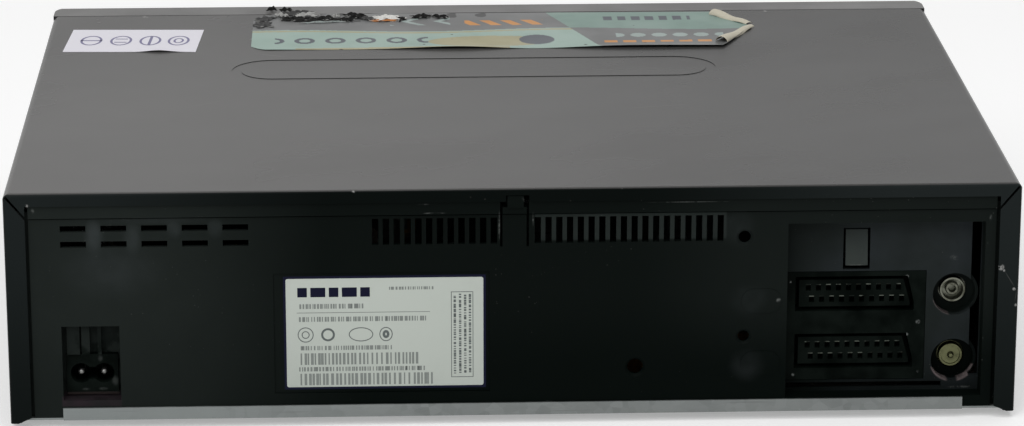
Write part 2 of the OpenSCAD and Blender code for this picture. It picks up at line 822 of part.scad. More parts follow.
// Everything that the socket bay cuts out of the panel
module bay_cuts() {
    block(bay_x0, bay_x1, bay_y, rear_y + over, bay_z0, bay_z1);
    // socket block and the slot under it
    block(block_x0 - 0.2, block_x1 + eps, bay_y - tub_t - over, bay_y + over,
        board_top - 0.2, block_z1 + 0.2);
    block(bay_x0 + 14, bay_x1 - 1, bay_y - tub_t - over, bay_y + over,
        bay_z0 + 0.9, board_top - 1.2);
    // deep slot down the far side
    block(bay_x0 - eps, bay_x0 + deep_slot_w, bay_y - tub_t - over, bay_y + over,
        board_top + 1, bay_z1 + eps);
    for (z = aerial_z) {
        bar_y(aerial_x, z, well_r, bay_y - tub_t - 5, bay_y + over);
        bar_y(aerial_x, z, aerial_r + 0.3, bay_y - tub_t - 7, bay_y);
    }
    block(tab_x0 - tab_gap, tab_x1 + tab_gap, bay_y - tub_t - over, bay_y + over,
        tab_z0 - 1.7, tab_z1 + tab_gap);
}

module rear_panel() {
    color("black") difference() {
        union() {
            block(-panel_half, panel_half, panel_back, panel_y, floor_z, rim_z0 + eps);
            block(-panel_half, panel_half, panel_back, rim_y, rim_z0, rim_z1 - 0.1);
            block(-panel_half, panel_half, panel_back, panel_y, rim_z1 - 0.2, cover_in_z - 0.3);
            // skirt behind the side flanges
            for (s = [-1, 1])
                block(s > 0 ? panel_half - skirt_lap : -skirt_half,
                    s > 0 ? skirt_half : -panel_half + skirt_lap,
                    panel_back - 2, panel_back + eps, floor_z, rim_z1 - 3);
            // tub of the socket bay, with its wells
            block(bay_x0 - tub_t, bay_x1 + tub_t, bay_y - tub_t, panel_back + eps,
                max(bay_z0 - tub_t, floor_z), bay_z1 + tub_t);
            for (z = aerial_z)
                bar_y(aerial_x, z, well_r + well_t, bay_y - tub_t - 6, bay_y - tub_t + eps);
            // tub of the mains recess
            block(recess_x0 - tub_t, recess_x1 + tub_t, recess_y - tub_t, panel_back + eps,
                max(recess_z0 - tub_t, floor_z), recess_z1 + tub_t);
            // smooth ovals beside the sockets
            for (z = oval_z) translate([oval_x, 0, z])
                along_y(panel_y - eps, panel_y + 0.25) oblong(oval_w, oval_h);
        }
        block(-panel_half - over, panel_half + over, panel_y - groove_d, panel_y + over,
            rim_z0 - groove_h, rim_z0);
        air_slots();
        bay_cuts();
        // mains recess and the hole for the inlet
        block(recess_x0, recess_x1, recess_y, rear_y + over, recess_z0, recess_z1);
        block(inlet_x - inlet_w / 2 - inlet_fit, inlet_x + inlet_w / 2 + inlet_fit,
            recess_y - tub_t - over, recess_y + over, board_z - inlet_fit,
            board_top + inlet_h + inlet_fit);
        // label recess
        block(label_x0 - label_frame, label_x0 + label_w + 2 * label_frame,
            panel_y - label_sink, panel_y + over, label_z0 - label_frame,
            label_z0 + label_h + label_frame);
        for (h = screw_holes) {
            bar_y(h[0], h[1], h[2], panel_back - over, panel_y + over);
            translate([h[0], panel_y + eps, h[1]]) rotate([90, 0, 0])
                cylinder(r1 = h[2] + 0.9, r2 = h[2], h = 0.9);
        }
        // latch tongue, with the panel open above it
        for (s = [-1, 1])
            block(s > 0 ? tongue_w / 2 : -tongue_w / 2 - tongue_slit,
                s > 0 ? tongue_w / 2 + tongue_slit : -tongue_w / 2,
                panel_back - over, rear_y + over, tongue_z0, body_h);
        block(-tongue_w / 2 - tongue_slit, tongue_w / 2 + tongue_slit, panel_back - over,
            rear_y + over, tongue_z1, body_h);
    }
    // hook of the latch
    color("black") block(hook_x[0], hook_x[1], panel_back + 0.2, rear_y - 0.4,
        tongue_z1 - eps, hook_top);
    // ribs above the mains inlet
    color("black") for (r = [[4.4, 9.2, 2.4], [0.6, 3.7, 3], [-3.7, -2.3, 2.4]])
        block(inlet_x + r[0], inlet_x + r[1], recess_y - eps, recess_y + r[2],
            board_top + inlet_h + 0.2, recess_z1 + eps);
    color("black") snap_tab();
}

// A sprung tab with a slanting face, hooked behind the bay's floor
module snap_tab() {
    along_x(tab_x0, tab_x1) polygon([[bay_y - tub_t - 1.2, tab_z0], [bay_y + 0.5, tab_z0],
        [bay_y + 0.5, tab_z0 + 1], [bay_y - 1.1, tab_z1], [bay_y - tub_t + eps, tab_z1],
        [bay_y - tub_t + eps, tab_z1 + 4], [bay_y - tub_t - 1.2, tab_z1 + 4]]);
}

module chassis_frame() {
    color("dimgray") {
        difference() {
            union() {
                for (s = [-1, 1])
                    block(s > 0 ? rail_in : -rail_out, s > 0 ? rail_out : -rail_in,
                        lip_y, panel_back - 2, floor_z, floor_z + rail_h);
                for (y = cross_rails)
                    block(-rail_in - eps, rail_in + eps, y - 6, y + 6, floor_z, floor_z + 2);
                for (p = deck_posts)
                    block(p[0] - post_w / 2, p[0] + post_w / 2, p[1] - post_w / 2,
                        p[1] + post_w / 2, floor_z + 2 - eps, deck_z);
                for (p = board_posts)
                    block(p[0] - standoff_w / 2, p[0] + standoff_w / 2,
                        p[1] - standoff_w / 2, p[1] + standoff_w / 2, floor_z + 2 - eps, board_z);
                for (s = [-1, 1], y = side_screws)
                    bar_x(y, screw_z, 4.5, s > 0 ? rail_out - eps : -half_w + cover_t,
                        s > 0 ? half_w - cover_t : -rail_out + eps);
            }
            for (s = [-1, 1], y = side_screws)
                bar_x(y, screw_z, 1.5, s > 0 ? rail_in - over : -half_w, s > 0 ? half_w : -rail_in + over);
            for (p = deck_posts) bar_z(p, 1.5, deck_z - 8, deck_z + over);
            for (p = board_posts) bar_z(p, 1.5, board_z - 4, board_z + over);
            for (p = floor_screws()) bar_z(p, 1.5, floor_z - over, floor_z + 2 + over);
        }
    }
}

// A screw with its head up
module screw(shank, head_r, head_h) {
    translate([0, 0, -shank]) cylinder(r = 1.5, h = shank + eps);
    cylinder(r = head_r, h = head_h);
}

module screws() {
    color("silver") {
        for (s = [-1, 1], y = side_screws)
            translate([s * (half_w - cover_t), y, screw_z]) rotate([0, s * 90, 0])
                screw(5, 3.4, cover_t - 0.1);
        for (p = deck_posts) translate([p[0], p[1], deck_top]) screw(7, 3, 1.6);
        for (p = board_posts) translate([p[0], p[1], board_top]) screw(4, 3, 1.6);
        for (p = floor_screws()) translate([p[0], p[1], foot_h]) rotate([180, 0, 0])
            screw(plate_t + 2, 3, 1.6);
    }
}

module rating_label() {
    color("ivory") block(label_x0, label_x0 + label_w, panel_y - label_sink,
        panel_y - label_sink + label_t, label_z0, label_z0 + label_h);
}

module stock_label() {
    color("white") block(half_w - stock_side - stock_w, half_w - stock_side,
        front_y + stock_front, front_y + stock_front + stock_l, body_h, body_h + label_t);
}

module torn_sticker() {
    color("cadetblue") translate([0, 0, body_h]) linear_extrude(label_t)
        polygon([[103, front_y + 17.5], [104, front_y + 70], [98, front_y + 76],
            [-108, front_y + 76], [-113, front_y + 68], [-112, front_y + 24],
            [-96, front_y + 17.5]]);
}

// One socket's opening, its short side slanting
module socket_outline(z, grow) {
    translate([0, z]) polygon([[socket_x1 + grow, -grow], [socket_x1 + grow, socket_h + grow],
        [socket_x0 + socket_slant - grow, socket_h + grow], [socket_x0 - grow, socket_h * 0.22],
        [socket_x0 - grow, -grow]]);
}

module scart_sockets() {
    color("black") {
        difference() {
            block(block_x0, block_x1, bay_y - block_d, bay_y, board_top, block_z1);
            for (z = socket_z) along_y(bay_y - socket_depth, bay_y + over)
                socket_outline(z, 0);
        }
        // the raised contact carrier in each socket, with a cell for each contact
        for (z = socket_z) difference() {
            along_y(bay_y - socket_depth - eps, bay_y - 1) socket_outline(z, -rib_gap);
            for (i = [0:contact_n - 1], row = [0, 1])
                translate([contact_x0 + i * contact_pitch + row * contact_pitch / 3, 0,
                    z + socket_h / 2 + (row - 0.5) * contact_row])
                    block(-cell_w / 2, cell_w / 2, bay_y - 1 - cell_d, bay_y, -cell_h / 2,
                        cell_h / 2);
        }
    }
}

module scart_contacts() {
    color("gold") for (z = socket_z, i = [0:contact_n - 1], row = [0, 1])
        translate([contact_x0 + i * contact_pitch + row * contact_pitch / 3, 0,
            z + socket_h / 2 + (row - 0.5) * contact_row])
            block(-cell_w / 2, cell_w / 2, bay_y - 1 - cell_d, bay_y - 1.4,
                cell_h / 2 - blade_t, cell_h / 2);
}

module tuner_can() {
    color("silver") difference() {
        block(can_x0, can_x1, can_y0, can_y1, board_top, can_z1);
        block(can_x0 + 0.5, can_x1 - 0.5, can_y0 + 0.5, can_y1 - 0.5, board_top - over,
            can_z1 - 0.5);
    }
}

module aerial_sockets() {
    color("tan") {
        // incoming socket: shell, insulator and a hollow centre contact
        translate([aerial_x, aerial_tip_y, aerial_z[0]]) rotate([90, 0, 0]) {
            difference() {
                cylinder(r = aerial_r, h = aerial_tip_y - can_y1);
                translate([0, 0, -over]) cylinder(r = aerial_r - 0.9, h = 3 + over);
            }
            difference() {
                translate([0, 0, 0.5]) cylinder(r = 2.8, h = 2.5 + eps);
                cylinder(r = 1.3, h = 2.2);
            }
        }
        // outgoing plug: rim, face and a solid centre pin
        translate([aerial_x, aerial_tip_y, aerial_z[1]]) rotate([90, 0, 0]) {
            difference() {
                cylinder(r = aerial_r - 0.4, h = aerial_tip_y - can_y1);
                translate([0, 0, -over]) cylinder(r = aerial_r - 1, h = 0.9 + over);
            }
            translate([0, 0, -0.8]) cylinder(r = 0.9, h = 1.7 + eps);
        }
    }
}

module mains_inlet() {
    color("black") difference() {
        block(inlet_x - inlet_w / 2, inlet_x + inlet_w / 2, inlet_y0, inlet_y1, board_top,
            board_top + inlet_h);
        for (s = [-1, 1]) bar_y(inlet_x + s * inlet_pin_pitch / 2, inlet_z, inlet_lobe_r,
            inlet_y1 - inlet_cavity, inlet_y1 + over);
        block(inlet_x - inlet_pin_pitch / 2, inlet_x + inlet_pin_pitch / 2,
            inlet_y1 - inlet_cavity, inlet_y1 + over, inlet_z - inlet_lobe_r * 0.62,
            inlet_z + inlet_lobe_r * 0.62);
    }
}

module mains_pins() {
    color("silver") for (s = [-1, 1]) {
        bar_y(inlet_x + s * inlet_pin_pitch / 2, inlet_z, inlet_pin_r,
            inlet_y1 - inlet_cavity, inlet_y1 - 2.2);
        translate([inlet_x + s * inlet_pin_pitch / 2, inlet_y1 - 2.2, inlet_z])
            sphere(r = inlet_pin_r);
    }
}

module circuit_boards() {
    color("peru") difference() {
        union() {
            block(board_x0, board_x1, board_y0, board_y1, board_z, board_top);
            block(power_x0, power_x1, power_y0, power_y1, board_z, board_top);
            block(inlet_x - inlet_w / 2, inlet_x + inlet_w / 2, power_y1 - over,
                recess_y - 0.5, board_z, board_top);
        }
        // clear of the aerial wells
        block(board_x0 - over, aerial_x + well_r + well_t + 0.3, bay_y - tub_t - 6.5,
            board_y1 + over, board_z - over, board_top + over);
        for (p = deck_posts) block(p[0] - post_w / 2 - 0.5, p[0] + post_w / 2 + 0.5,
            p[1] - post_w / 2 - 0.5, p[1] + post_w / 2 + 0.5, board_z - over, board_top + over);
        for (p = board_posts) bar_z(p, 1.6, board_z - over, board_top + over);
    }
}

module mains_transformer() {
    x = (power_x0 + power_x1) / 2 - 8;
    y = rear_y - 92;
    color("goldenrod") {
        block(x, x + transformer_w, y, y + transformer_w, board_top, board_top + 3);
        block(x + 3, x + transformer_w - 3, y + 3, y + transformer_w - 3, board_top + 3 - eps,
            board_top + transformer_h - 6);
        block(x, x + transformer_w, y + transformer_w / 2 - 6, y + transformer_w / 2 + 6,
            board_top + 3 - eps, board_top + transformer_h);
    }
}

// Capacitors: [x, y, radius, height]
module capacitors() {
    list = [[power_x0 + 16, cross_rails[2] - 16.5, 11, 34], [power_x0 + 15, rear_y - 120, 6.5, 25],
        [power_x0 + 31, rear_y - 122, 5, 20], [power_x1 - 16, rear_y - 36, 5, 18],
        [board_x0 + 20, rear_y - 90, 5, 16], [board_x0 + 34, rear_y - 92, 4, 12],
        [board_x0 + 24, rear_y - 154, 5, 16], [board_x0 + 34, rear_y - 172, 4, 12]];
    color("navy") for (c = list) bar_z(c, c[2], board_top, board_top + c[3]);
}

module heat_sinks() {
    color("silver") for (y = [rear_y - 104, rear_y - 170]) {
        block(power_x1 - 26, power_x1 - 4, y, y + 2, board_top, board_top + 38);
        for (i = [0:5]) block(power_x1 - 26 + i * 4.1, power_x1 - 24.5 + i * 4.1, y + 2 - eps,
            y + 10, board_top, board_top + 38);
    }
}

module chips() {
    list = [[deck_x - 80, load_y + 20, 22, 22], [deck_x - 30, load_y - 60, 30, 14],
        [deck_x + 62, load_y - 70, 24, 24], [board_x0 + 20, rear_y - 122.5, 26, 12],
        [deck_x - 82, load_y - 60, 18, 30], [deck_x + 20, board_y1 - 30, 40, 12]];
    color("black") for (c = list) block(c[0] - c[2] / 2, c[0] + c[2] / 2, c[1] - c[3] / 2,
        c[1] + c[3] / 2, board_top, board_top + 3.2);
}

// Places across the deck are measured from its middle
function across(s, p) = [deck_x + s * p[0], load_y + p[1]];

module deck_plate() {
    color("lightsteelblue") {
        difference() {
            union() {
                block(deck_x - deck_half, deck_x + deck_half, deck_y0, deck_y1, deck_z, deck_top);
                // rolled edge at the rear
                block(deck_x - deck_half, deck_x + deck_half, deck_y1 - deck_t, deck_y1,
                    deck_top - eps, deck_top + 6);
            }
            bar_z([deck_x, drum_y], 8, deck_z - over, deck_top + over);
            for (s = [-1, 1]) guide_slot_cut(s);
            bar_z(capstan_at, 3, deck_z - over, deck_top + over);
            bar_z(clutch_at, post_r + shaft_fit, deck_z - over, deck_top + over);
            bar_z(pinion_at, 3, deck_z - over, deck_top + over);
            for (p = deck_posts) bar_z(p, 1.7, deck_z - over, deck_top + over);
        }
        for (s = [-1, 1]) reel_post(s);
        for (p = [pinch_pivot, tension_pivot]) {
            bar_z(p, 4, deck_top - eps, pinch_arm_z - roll_gap);
            bar_z(p, post_r, deck_top, pinch_arm_z + 6);
        }
        bar_z(cam_at, 5, deck_top - eps, cam_z0 - roll_gap);
        bar_z(cam_at, post_r, deck_top, cam_z0 + cam_t + 3);
        for (s = [-1, 1])
            bar_z([deck_x + s * 25, brake_y], brake_pin_r, deck_top - eps, deck_top + 3);
    }
}

// Slot of a tape guide, longer at each end by half its tenon
module guide_slot_cut(s) {
    way = (guide_end - guide_start) / norm(guide_end - guide_start) * guide_tenon;
    link(across(s, guide_start - way), across(s, guide_end + way), guide_slot,
        deck_z - over, deck_top + over);
}

module reel_post(s) {
    at = [deck_x + s * reel_pitch / 2, reel_y];
    bar_z(at, 5, deck_top - eps, reel_z0 - roll_gap);
    bar_z(at, post_r, deck_top, spindle_top - 3);
}

// A reel table: rubber-edged flange, hub and a splined spindle, bored for its post
module reel(s) {
    at = [deck_x + s * reel_pitch / 2, reel_y];
    difference() {
        union() {
            bar_z(at, reel_r, reel_z0, reel_z0 + reel_flange_t);
            bar_z(at, reel_hub_r, reel_z0, cassette_z0 - drop_travel - 0.4);
            bar_z(at, spindle_r, reel_z0, spindle_top - 2);
            translate([at[0], at[1], spindle_top - 2 - eps])
                cylinder(r1 = spindle_r, r2 = spindle_r - 2.5, h = 2);
            for (i = [0:5]) translate([at[0], at[1], 0]) rotate([0, 0, i * 60])
                block(spindle_r - 1, spindle_r + 1.6, -1, 1, reel_z0 + 4, spindle_top - 5);
        }
        bar_z(at, post_r + shaft_fit, reel_z0 - over, spindle_top - 2.6);
    }
}

module supply_reel() { color("gray") reel(-1); }
module take_up_reel() { color("gray") reel(1); }

// Places its children on the head drum's leaning axis
module on_drum() {
    translate([deck_x, drum_y, deck_top]) rotate([drum_tilt, 0, 0]) children();
}

module lower_drum() {
    color("silver") difference() {
        on_drum() difference() {
            translate([0, 0, -8]) cylinder(r = drum_r, h = lower_drum_h + 8);
            translate([0, 0, -8 - over])
                cylinder(r = drum_shaft_r + shaft_fit, h = lower_drum_h + 8 + 2 * over);
            // ruled step that guides the tape's lower edge
            difference() {
                translate([0, 0, lower_drum_h - 7]) cylinder(r = drum_r + over, h = 8);
                translate([0, 0, lower_drum_h - 7 - over]) cylinder(r = drum_r - 0.3, h = 10);
            }
        }
        block(deck_x - 2 * drum_r, deck_x + 2 * drum_r, drum_y - 2 * drum_r,
            drum_y + 2 * drum_r, 0, deck_top);
    }
}

module upper_drum() {
    color("silver") on_drum() {
        difference() {
            translate([0, 0, lower_drum_h + roll_gap]) cylinder(r = drum_r, h = upper_drum_h);
            translate([0, 0, lower_drum_h + roll_gap + upper_drum_h - 3])
                cylinder(r = drum_r - 8, h = 4);
            for (i = [0:5]) rotate([0, 0, i * 60]) translate([15, 0, lower_drum_h])
                cylinder(r = 4.5, h = upper_drum_h + over);
            // pockets of the two heads
            for (s = [-1, 1]) block(s > 0 ? drum_r - 3.5 : -drum_r - over,
                s > 0 ? drum_r + over : -drum_r + 3.5, -2, 2, lower_drum_h,
                lower_drum_h + roll_gap + 2.5);
        }
        translate([0, 0, -12]) cylinder(r = drum_shaft_r, h = 12 + lower_drum_h + 4);
        // cup of the drum motor, under the deck
        difference() {
            translate([0, 0, -13]) cylinder(r = rotor_r, h = 7.5);
            translate([0, 0, -11.5]) cylinder(r = rotor_r - 1.6, h = 8);
        }
    }
}

module video_heads() {
    color("gold") on_drum() for (s = [-1, 1])
        block(s > 0 ? drum_r - 3.5 : -drum_r - 0.05, s > 0 ? drum_r + 0.05 : -drum_r + 3.5,
            -1, 1, lower_drum_h + roll_gap + 1.5, lower_drum_h + roll_gap + 2.5);
}

module capstan_bush() {
    color("goldenrod") difference() {
        bar_z(capstan_at, bush_r, deck_top, deck_top + bush_h);
        bar_z(capstan_at, capstan_r + shaft_fit, deck_top - over, deck_top + bush_h + over);
    }
}

module capstan() {
    color("silver") {
        bar_z(capstan_at, capstan_r, belt_z - flywheel_t, capstan_top);
        difference() {
            bar_z(capstan_at, capstan_pulley_r + 1, belt_z - eps, belt_z + belt_h + 0.8);
            belt_groove(capstan_at, capstan_pulley_r);
        }
        difference() {
            bar_z(capstan_at, flywheel_r, belt_z - flywheel_t - 0.5, belt_z - 0.5);
            difference() {
                bar_z(capstan_at, flywheel_r - 4, belt_z - flywheel_t - over, belt_z - 4);
                bar_z(capstan_at, capstan_r + 3, belt_z - flywheel_t - 2, belt_z);
            }
        }
        bar_z(capstan_at, capstan_pulley_r - 1, belt_z - 0.5 - eps, belt_z);
    }
}

// The flat groove that the drive belt runs in
module belt_groove(at, r) {
    difference() {
        bar_z(at, r + 3, belt_z, belt_z + belt_h);
        bar_z(at, r, belt_z - over, belt_z + belt_h + over);
    }
}

module clutch_pulley() {
    color("gray") {
        bar_z(clutch_at, clutch_r, wheel_z0, wheel_z0 + wheel_t);
        bar_z(clutch_at, post_r, belt_z, wheel_z0 + wheel_t + 1);
        difference() {
            bar_z(clutch_at, clutch_pulley_r + 1, belt_z - 0.8, belt_z + belt_h + 0.8);
            belt_groove(clutch_at, clutch_pulley_r);
        }
    }
}

module drive_belt() {
    inner = roll_gap / 2;
    color("black") translate([0, 0, belt_z + 0.3]) linear_extrude(belt_h - 0.6) difference() {
        hull() {
            translate(capstan_at) circle(capstan_pulley_r + inner + belt_t);
            translate(clutch_at) circle(clutch_pulley_r + inner + belt_t);
        }
        hull() {
            translate(capstan_at) circle(capstan_pulley_r + inner);
            translate(clutch_at) circle(clutch_pulley_r + inner);
        }
    }
}

idler_at = clutch_at - [0, idler_l];

module idler_arm() {
    color("ivory") difference() {
        union() {
            link(clutch_at, idler_at, 9, arm_z0, arm_z0 + arm_t);
            bar_z(idler_at, 1.5, arm_z0, wheel_z0 + wheel_t + 0.8);
        }
        bar_z(clutch_at, post_r + shaft_fit, arm_z0 - over, arm_z0 + arm_t + over);
    }
}

module idler_wheel() {
    color("black") difference() {
        bar_z(idler_at, idler_r, wheel_z0, wheel_z0 + wheel_t);
        bar_z(idler_at, 1.5 + shaft_fit, wheel_z0 - over, wheel_z0 + wheel_t + over);
        for (i = [0:4]) translate(concat(idler_at, [wheel_z0 - over]))
            rotate([0, 0, i * 72]) translate([idler_r * 0.58, 0, 0])
                cylinder(r = idler_r * 0.2, h = wheel_t + 2 * over);
    }
}

function pinch_roller_at() = pinch_pivot
    + pinch_arm_l * [cos(pinch_rest), sin(pinch_rest)];

module pinch_arm() {
    color("silver") difference() {
        union() {
            link(pinch_pivot, pinch_roller_at(), 8, pinch_arm_z, pinch_arm_z + 2);
            bar_z(pinch_pivot, 5, pinch_arm_z, pinch_arm_z + 5);
            bar_z(pinch_roller_at(), 1.5, pinch_arm_z, pinch_arm_z + 3.2 + pinch_roller_h);
        }
        bar_z(pinch_pivot, post_r + shaft_fit, pinch_arm_z - over, pinch_arm_z + 5 + over);
    }
}

module pinch_roller() {
    z = pinch_arm_z + 2.4;
    color("black") difference() {
        bar_z(pinch_roller_at(), pinch_r, z, z + pinch_roller_h);
        bar_z(pinch_roller_at(), 1.5 + shaft_fit, z - over, z + pinch_roller_h + over);
    }
}

module tension_arm() {
    tip = tension_pivot + tension_reach;
    color("silver") difference() {
        union() {
            link(tension_pivot, tip, 6, pinch_arm_z, pinch_arm_z + 1.5);
            bar_z(tension_pivot, 4, pinch_arm_z, pinch_arm_z + 5);
            bar_z(tip, 1.5, pinch_arm_z, pinch_arm_z + 15);
        }
        bar_z(tension_pivot, post_r + shaft_fit, pinch_arm_z - over, pinch_arm_z + 5 + over);
    }
}

// Outline of a gear with straight-sided teeth
function gear_points(r, n) = [for (i = [0:n - 1], q = [[-0.32, -1.4], [-0.16, 0], [0.16, 0],
    [0.32, -1.4]]) (r + q[1]) * [cos((i + q[0]) * 360 / n), sin((i + q[0]) * 360 / n)]];

module cam_gear() {
    color("ivory") difference() {
        union() {
            translate([cam_at[0], cam_at[1], cam_z0]) linear_extrude(cam_t)
                polygon(gear_points(cam_r, cam_teeth));
            bar_z(cam_at, 5, cam_z0, cam_z0 + cam_t + 2);
        }
        bar_z(cam_at, post_r + shaft_fit, cam_z0 - over, cam_z0 + cam_t + 2 + over);
    }
}

module motor_pinion() {
    color("ivory") {
        translate([pinion_at[0], pinion_at[1], cam_z0]) linear_extrude(cam_t)
            polygon(gear_points(pinion_r, pinion_teeth));
        bar_z(pinion_at, 1.5, deck_z - motor_h + 2, cam_z0 + cam_t);
    }
}

// The loading motor hangs under the deck, bored for its shaft
module loading_motor() {
    color("silver") difference() {
        bar_z(pinion_at, motor_r, deck_z - motor_h, deck_z);
        bar_z(pinion_at, 1.5 + shaft_fit, deck_z - motor_h + 1.5, deck_z + over);
    }
}

// A tape guide on its shoe, which runs in the deck's slot
module guide(s) {
    at = across(s, guide_start);
    dir = across(s, guide_end) - at;
    turn = atan2(dir[1], dir[0]);
    translate([at[0], at[1], 0]) rotate([0, 0, turn]) {
        block(-6, 6, -5, 5, deck_top + 0.2, deck_top + 2.6);
        link([-guide_tenon, 0], [guide_tenon, 0], guide_w, deck_z - 0.2 - eps,
            deck_top + 0.2 + eps);
        block(-6, 6, -5, 5, deck_z - 1.6, deck_z - 0.2);
    }
    bar_z(at, 1.5, deck_top + 2, deck_top + 24);
    bar_z(at, 3, deck_top + 6, deck_top + 20.5);
    bar_z(at, 4, deck_top + 20.5, deck_top + 21.5);
    bar_z(at, 4, deck_top + 5, deck_top + 6);
}

module supply_guide() { color("silver") guide(-1); }
module take_up_guide() { color("silver") guide(1); }

module tape_heads() {
    color("silver") for (p = [[-56, 26], [56, 34]])
        translate([deck_x + p[0], load_y + p[1], 0]) {
            block(-6, 6, -4, 4, deck_top, deck_top + 2);
            block(-2, 2, -2, 2, deck_top + 2 - eps, deck_top + 8);
            block(-5, 5, -4, 4, deck_top + 8 - eps, deck_top + 24);
        }
}

module brake_bar() {
    z0 = deck_top + 0.1;
    fit = brake_pin_r + shaft_fit;
    color("ivory") difference() {
        union() {
            block(deck_x - 60, deck_x + 60, brake_y - 4, brake_y + brake_w, z0, z0 + 1.2);
            for (s = [-1, 1]) block(deck_x + s * reel_pitch / 2 - 4,
                deck_x + s * reel_pitch / 2 + 4, brake_y + 2, brake_y + brake_w,
                z0 + 1.2 - eps, z0 + 4.6);
        }
        for (s = [-1, 1]) block(deck_x + s * 25 - fit, deck_x + s * 25 + fit,
            brake_y - fit, brake_y + fit + brake_slide, z0 - over, z0 + 2);
    }
}

module cassette_cage() {
    fit = slide_pin_r + shaft_fit;
    color("lightsteelblue") {
        difference() {
            for (s = [-1, 1]) {
                x = deck_x + s * (cage_in + cage_t / 2);
                block(x - cage_t / 2, x + cage_t / 2, holder_y0 - 2, load_y + 4, deck_top,
                    cage_z1);
                block(s > 0 ? x : deck_x - deck_half, s > 0 ? deck_x + deck_half : x,
                    holder_y0 - 2, load_y + 4, deck_top, deck_top + cage_t);
            }
            block(deck_x - cage_out - over, deck_x + cage_out + over,
                carriage_pin_y[0] - fit, carriage_pin_y[1] + load_travel + fit,
                carriage_pin_z - fit, carriage_pin_z + fit);
            for (p = deck_posts) bar_z(p, 3.4, deck_top - over, deck_top + 3);
        }
        difference() {
            block(deck_x - cage_out, deck_x + cage_out, holder_y0, load_y - 10,
                cage_z1 - cage_t, cage_z1);
            block(deck_x - 70, deck_x + 70, holder_y0 + 16, load_y - 26, cage_z1 - 2 * cage_t,
                cage_z1 + over);
        }
    }
}

module carriage() {
    fit = slide_pin_r + shaft_fit;
    color("gray") {
        difference() {
            for (s = [-1, 1]) {
                x = deck_x + s * (carriage_in + tray_t / 2);
                block(x - tray_t / 2, x + tray_t / 2, holder_y0, holder_y1, cassette_z0,
                    carriage_z1);
            }
            // upright slots that the holder's pins drop in
            for (y = holder_pin_y) block(deck_x - cage_out, deck_x + cage_out, y - fit,
                y + fit, holder_pin_z - drop_travel - fit, holder_pin_z + fit);
        }
        for (s = [-1, 1], y = carriage_pin_y)
            bar_x(y, carriage_pin_z, slide_pin_r,
                s > 0 ? deck_x + carriage_in : deck_x - cage_out,
                s > 0 ? deck_x + cage_out : deck_x - carriage_in);
        block(deck_x - carriage_out, deck_x + carriage_out, holder_y1 - 9, holder_y1,
            carriage_z1 - tray_t, carriage_z1);
    }
}

module cassette_holder() {
    color("silver") {
        for (s = [-1, 1]) {
            x = deck_x + s * (holder_in + tray_t / 2);
            block(x - tray_t / 2, x + tray_t / 2, holder_y0, holder_y1, ledge_z0, holder_z1);
            block(s > 0 ? deck_x + ledge_in : x, s > 0 ? x : deck_x - ledge_in, holder_y0,
                holder_y1, ledge_z0, ledge_z1);
            for (y = holder_pin_y) bar_x(y, holder_pin_z, slide_pin_r,
                s > 0 ? deck_x + holder_in : deck_x - carriage_out,
                s > 0 ? deck_x + carriage_out : deck_x - holder_in);
        }
        difference() {
            block(deck_x - holder_out, deck_x + holder_out, holder_y0, holder_y1,
                holder_z1 - tray_t, holder_z1);
            for (s = [-1, 1]) block(deck_x + s * 45 - 22, deck_x + s * 45 + 22,
                holder_y0 + 8, holder_y1 - 16, holder_z1 - 2 * tray_t, holder_z1 + over);
        }
    }
}

top_cover();
bottom_plate();
front_panel();
rear_panel();
chassis_frame();
feet();
screws();
cassette_door();
door_spring();
display_window();
rating_label();
stock_label();
torn_sticker();
standby_key();
eject_key();
play_key();
rewind_key();
fast_forward_key();
record_key();
channel_down_key();
channel_up_key();
scart_sockets();
scart_contacts();
tuner_can();
aerial_sockets();
mains_inlet();
mains_pins();
circuit_boards();
mains_transformer();
capacitors();
heat_sinks();
chips();
display_board();
display_tube();
key_switches();
deck_plate();
lower_drum();
upper_drum();
video_heads();
capstan();
capstan_bush();
clutch_pulley();
drive_belt();
idler_arm();
idler_wheel();
supply_reel();
take_up_reel();
pinch_arm();
pinch_roller();
loading_motor();
motor_pinion();
cam_gear();
supply_guide();
take_up_guide();
tape_heads();
tension_arm();
brake_bar();
cassette_cage();
carriage();
cassette_holder();
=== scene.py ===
# Looks of a video cassette recorder: materials, labels, sockets, keys, light and camera
import json
import math
import bmesh
import bpy
import numpy as np
from mathutils import Euler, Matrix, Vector


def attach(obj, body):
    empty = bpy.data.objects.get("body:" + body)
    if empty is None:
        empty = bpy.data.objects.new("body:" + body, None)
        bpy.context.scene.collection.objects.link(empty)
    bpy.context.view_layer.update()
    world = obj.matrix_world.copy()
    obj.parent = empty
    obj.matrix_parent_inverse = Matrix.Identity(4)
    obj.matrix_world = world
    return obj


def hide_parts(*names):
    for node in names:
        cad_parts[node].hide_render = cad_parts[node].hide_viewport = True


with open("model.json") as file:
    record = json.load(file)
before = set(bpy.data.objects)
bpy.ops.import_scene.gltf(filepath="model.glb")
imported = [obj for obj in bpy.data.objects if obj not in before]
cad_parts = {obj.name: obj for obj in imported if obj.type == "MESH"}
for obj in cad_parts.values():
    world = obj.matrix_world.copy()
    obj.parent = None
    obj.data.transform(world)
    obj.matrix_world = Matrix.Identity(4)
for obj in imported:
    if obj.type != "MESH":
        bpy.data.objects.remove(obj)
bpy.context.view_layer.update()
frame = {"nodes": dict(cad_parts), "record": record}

nodes = frame["nodes"]

# Sizes of the case, in millimetres
MM = 0.001
HALF_W = 190.0
FRONT_Y = -142.5
REAR_Y = 142.5
TOP_Z = 93.0
COVER_T = 0.9
PANEL_Y = 140.5
BAY_Y = 132.5
DECK_X = -12.0

# Middles of the two aerial wells in the socket bay
WELL_X = -167.3
UPPER_WELL_Z = 46.5
LOWER_WELL_Z = 20.3


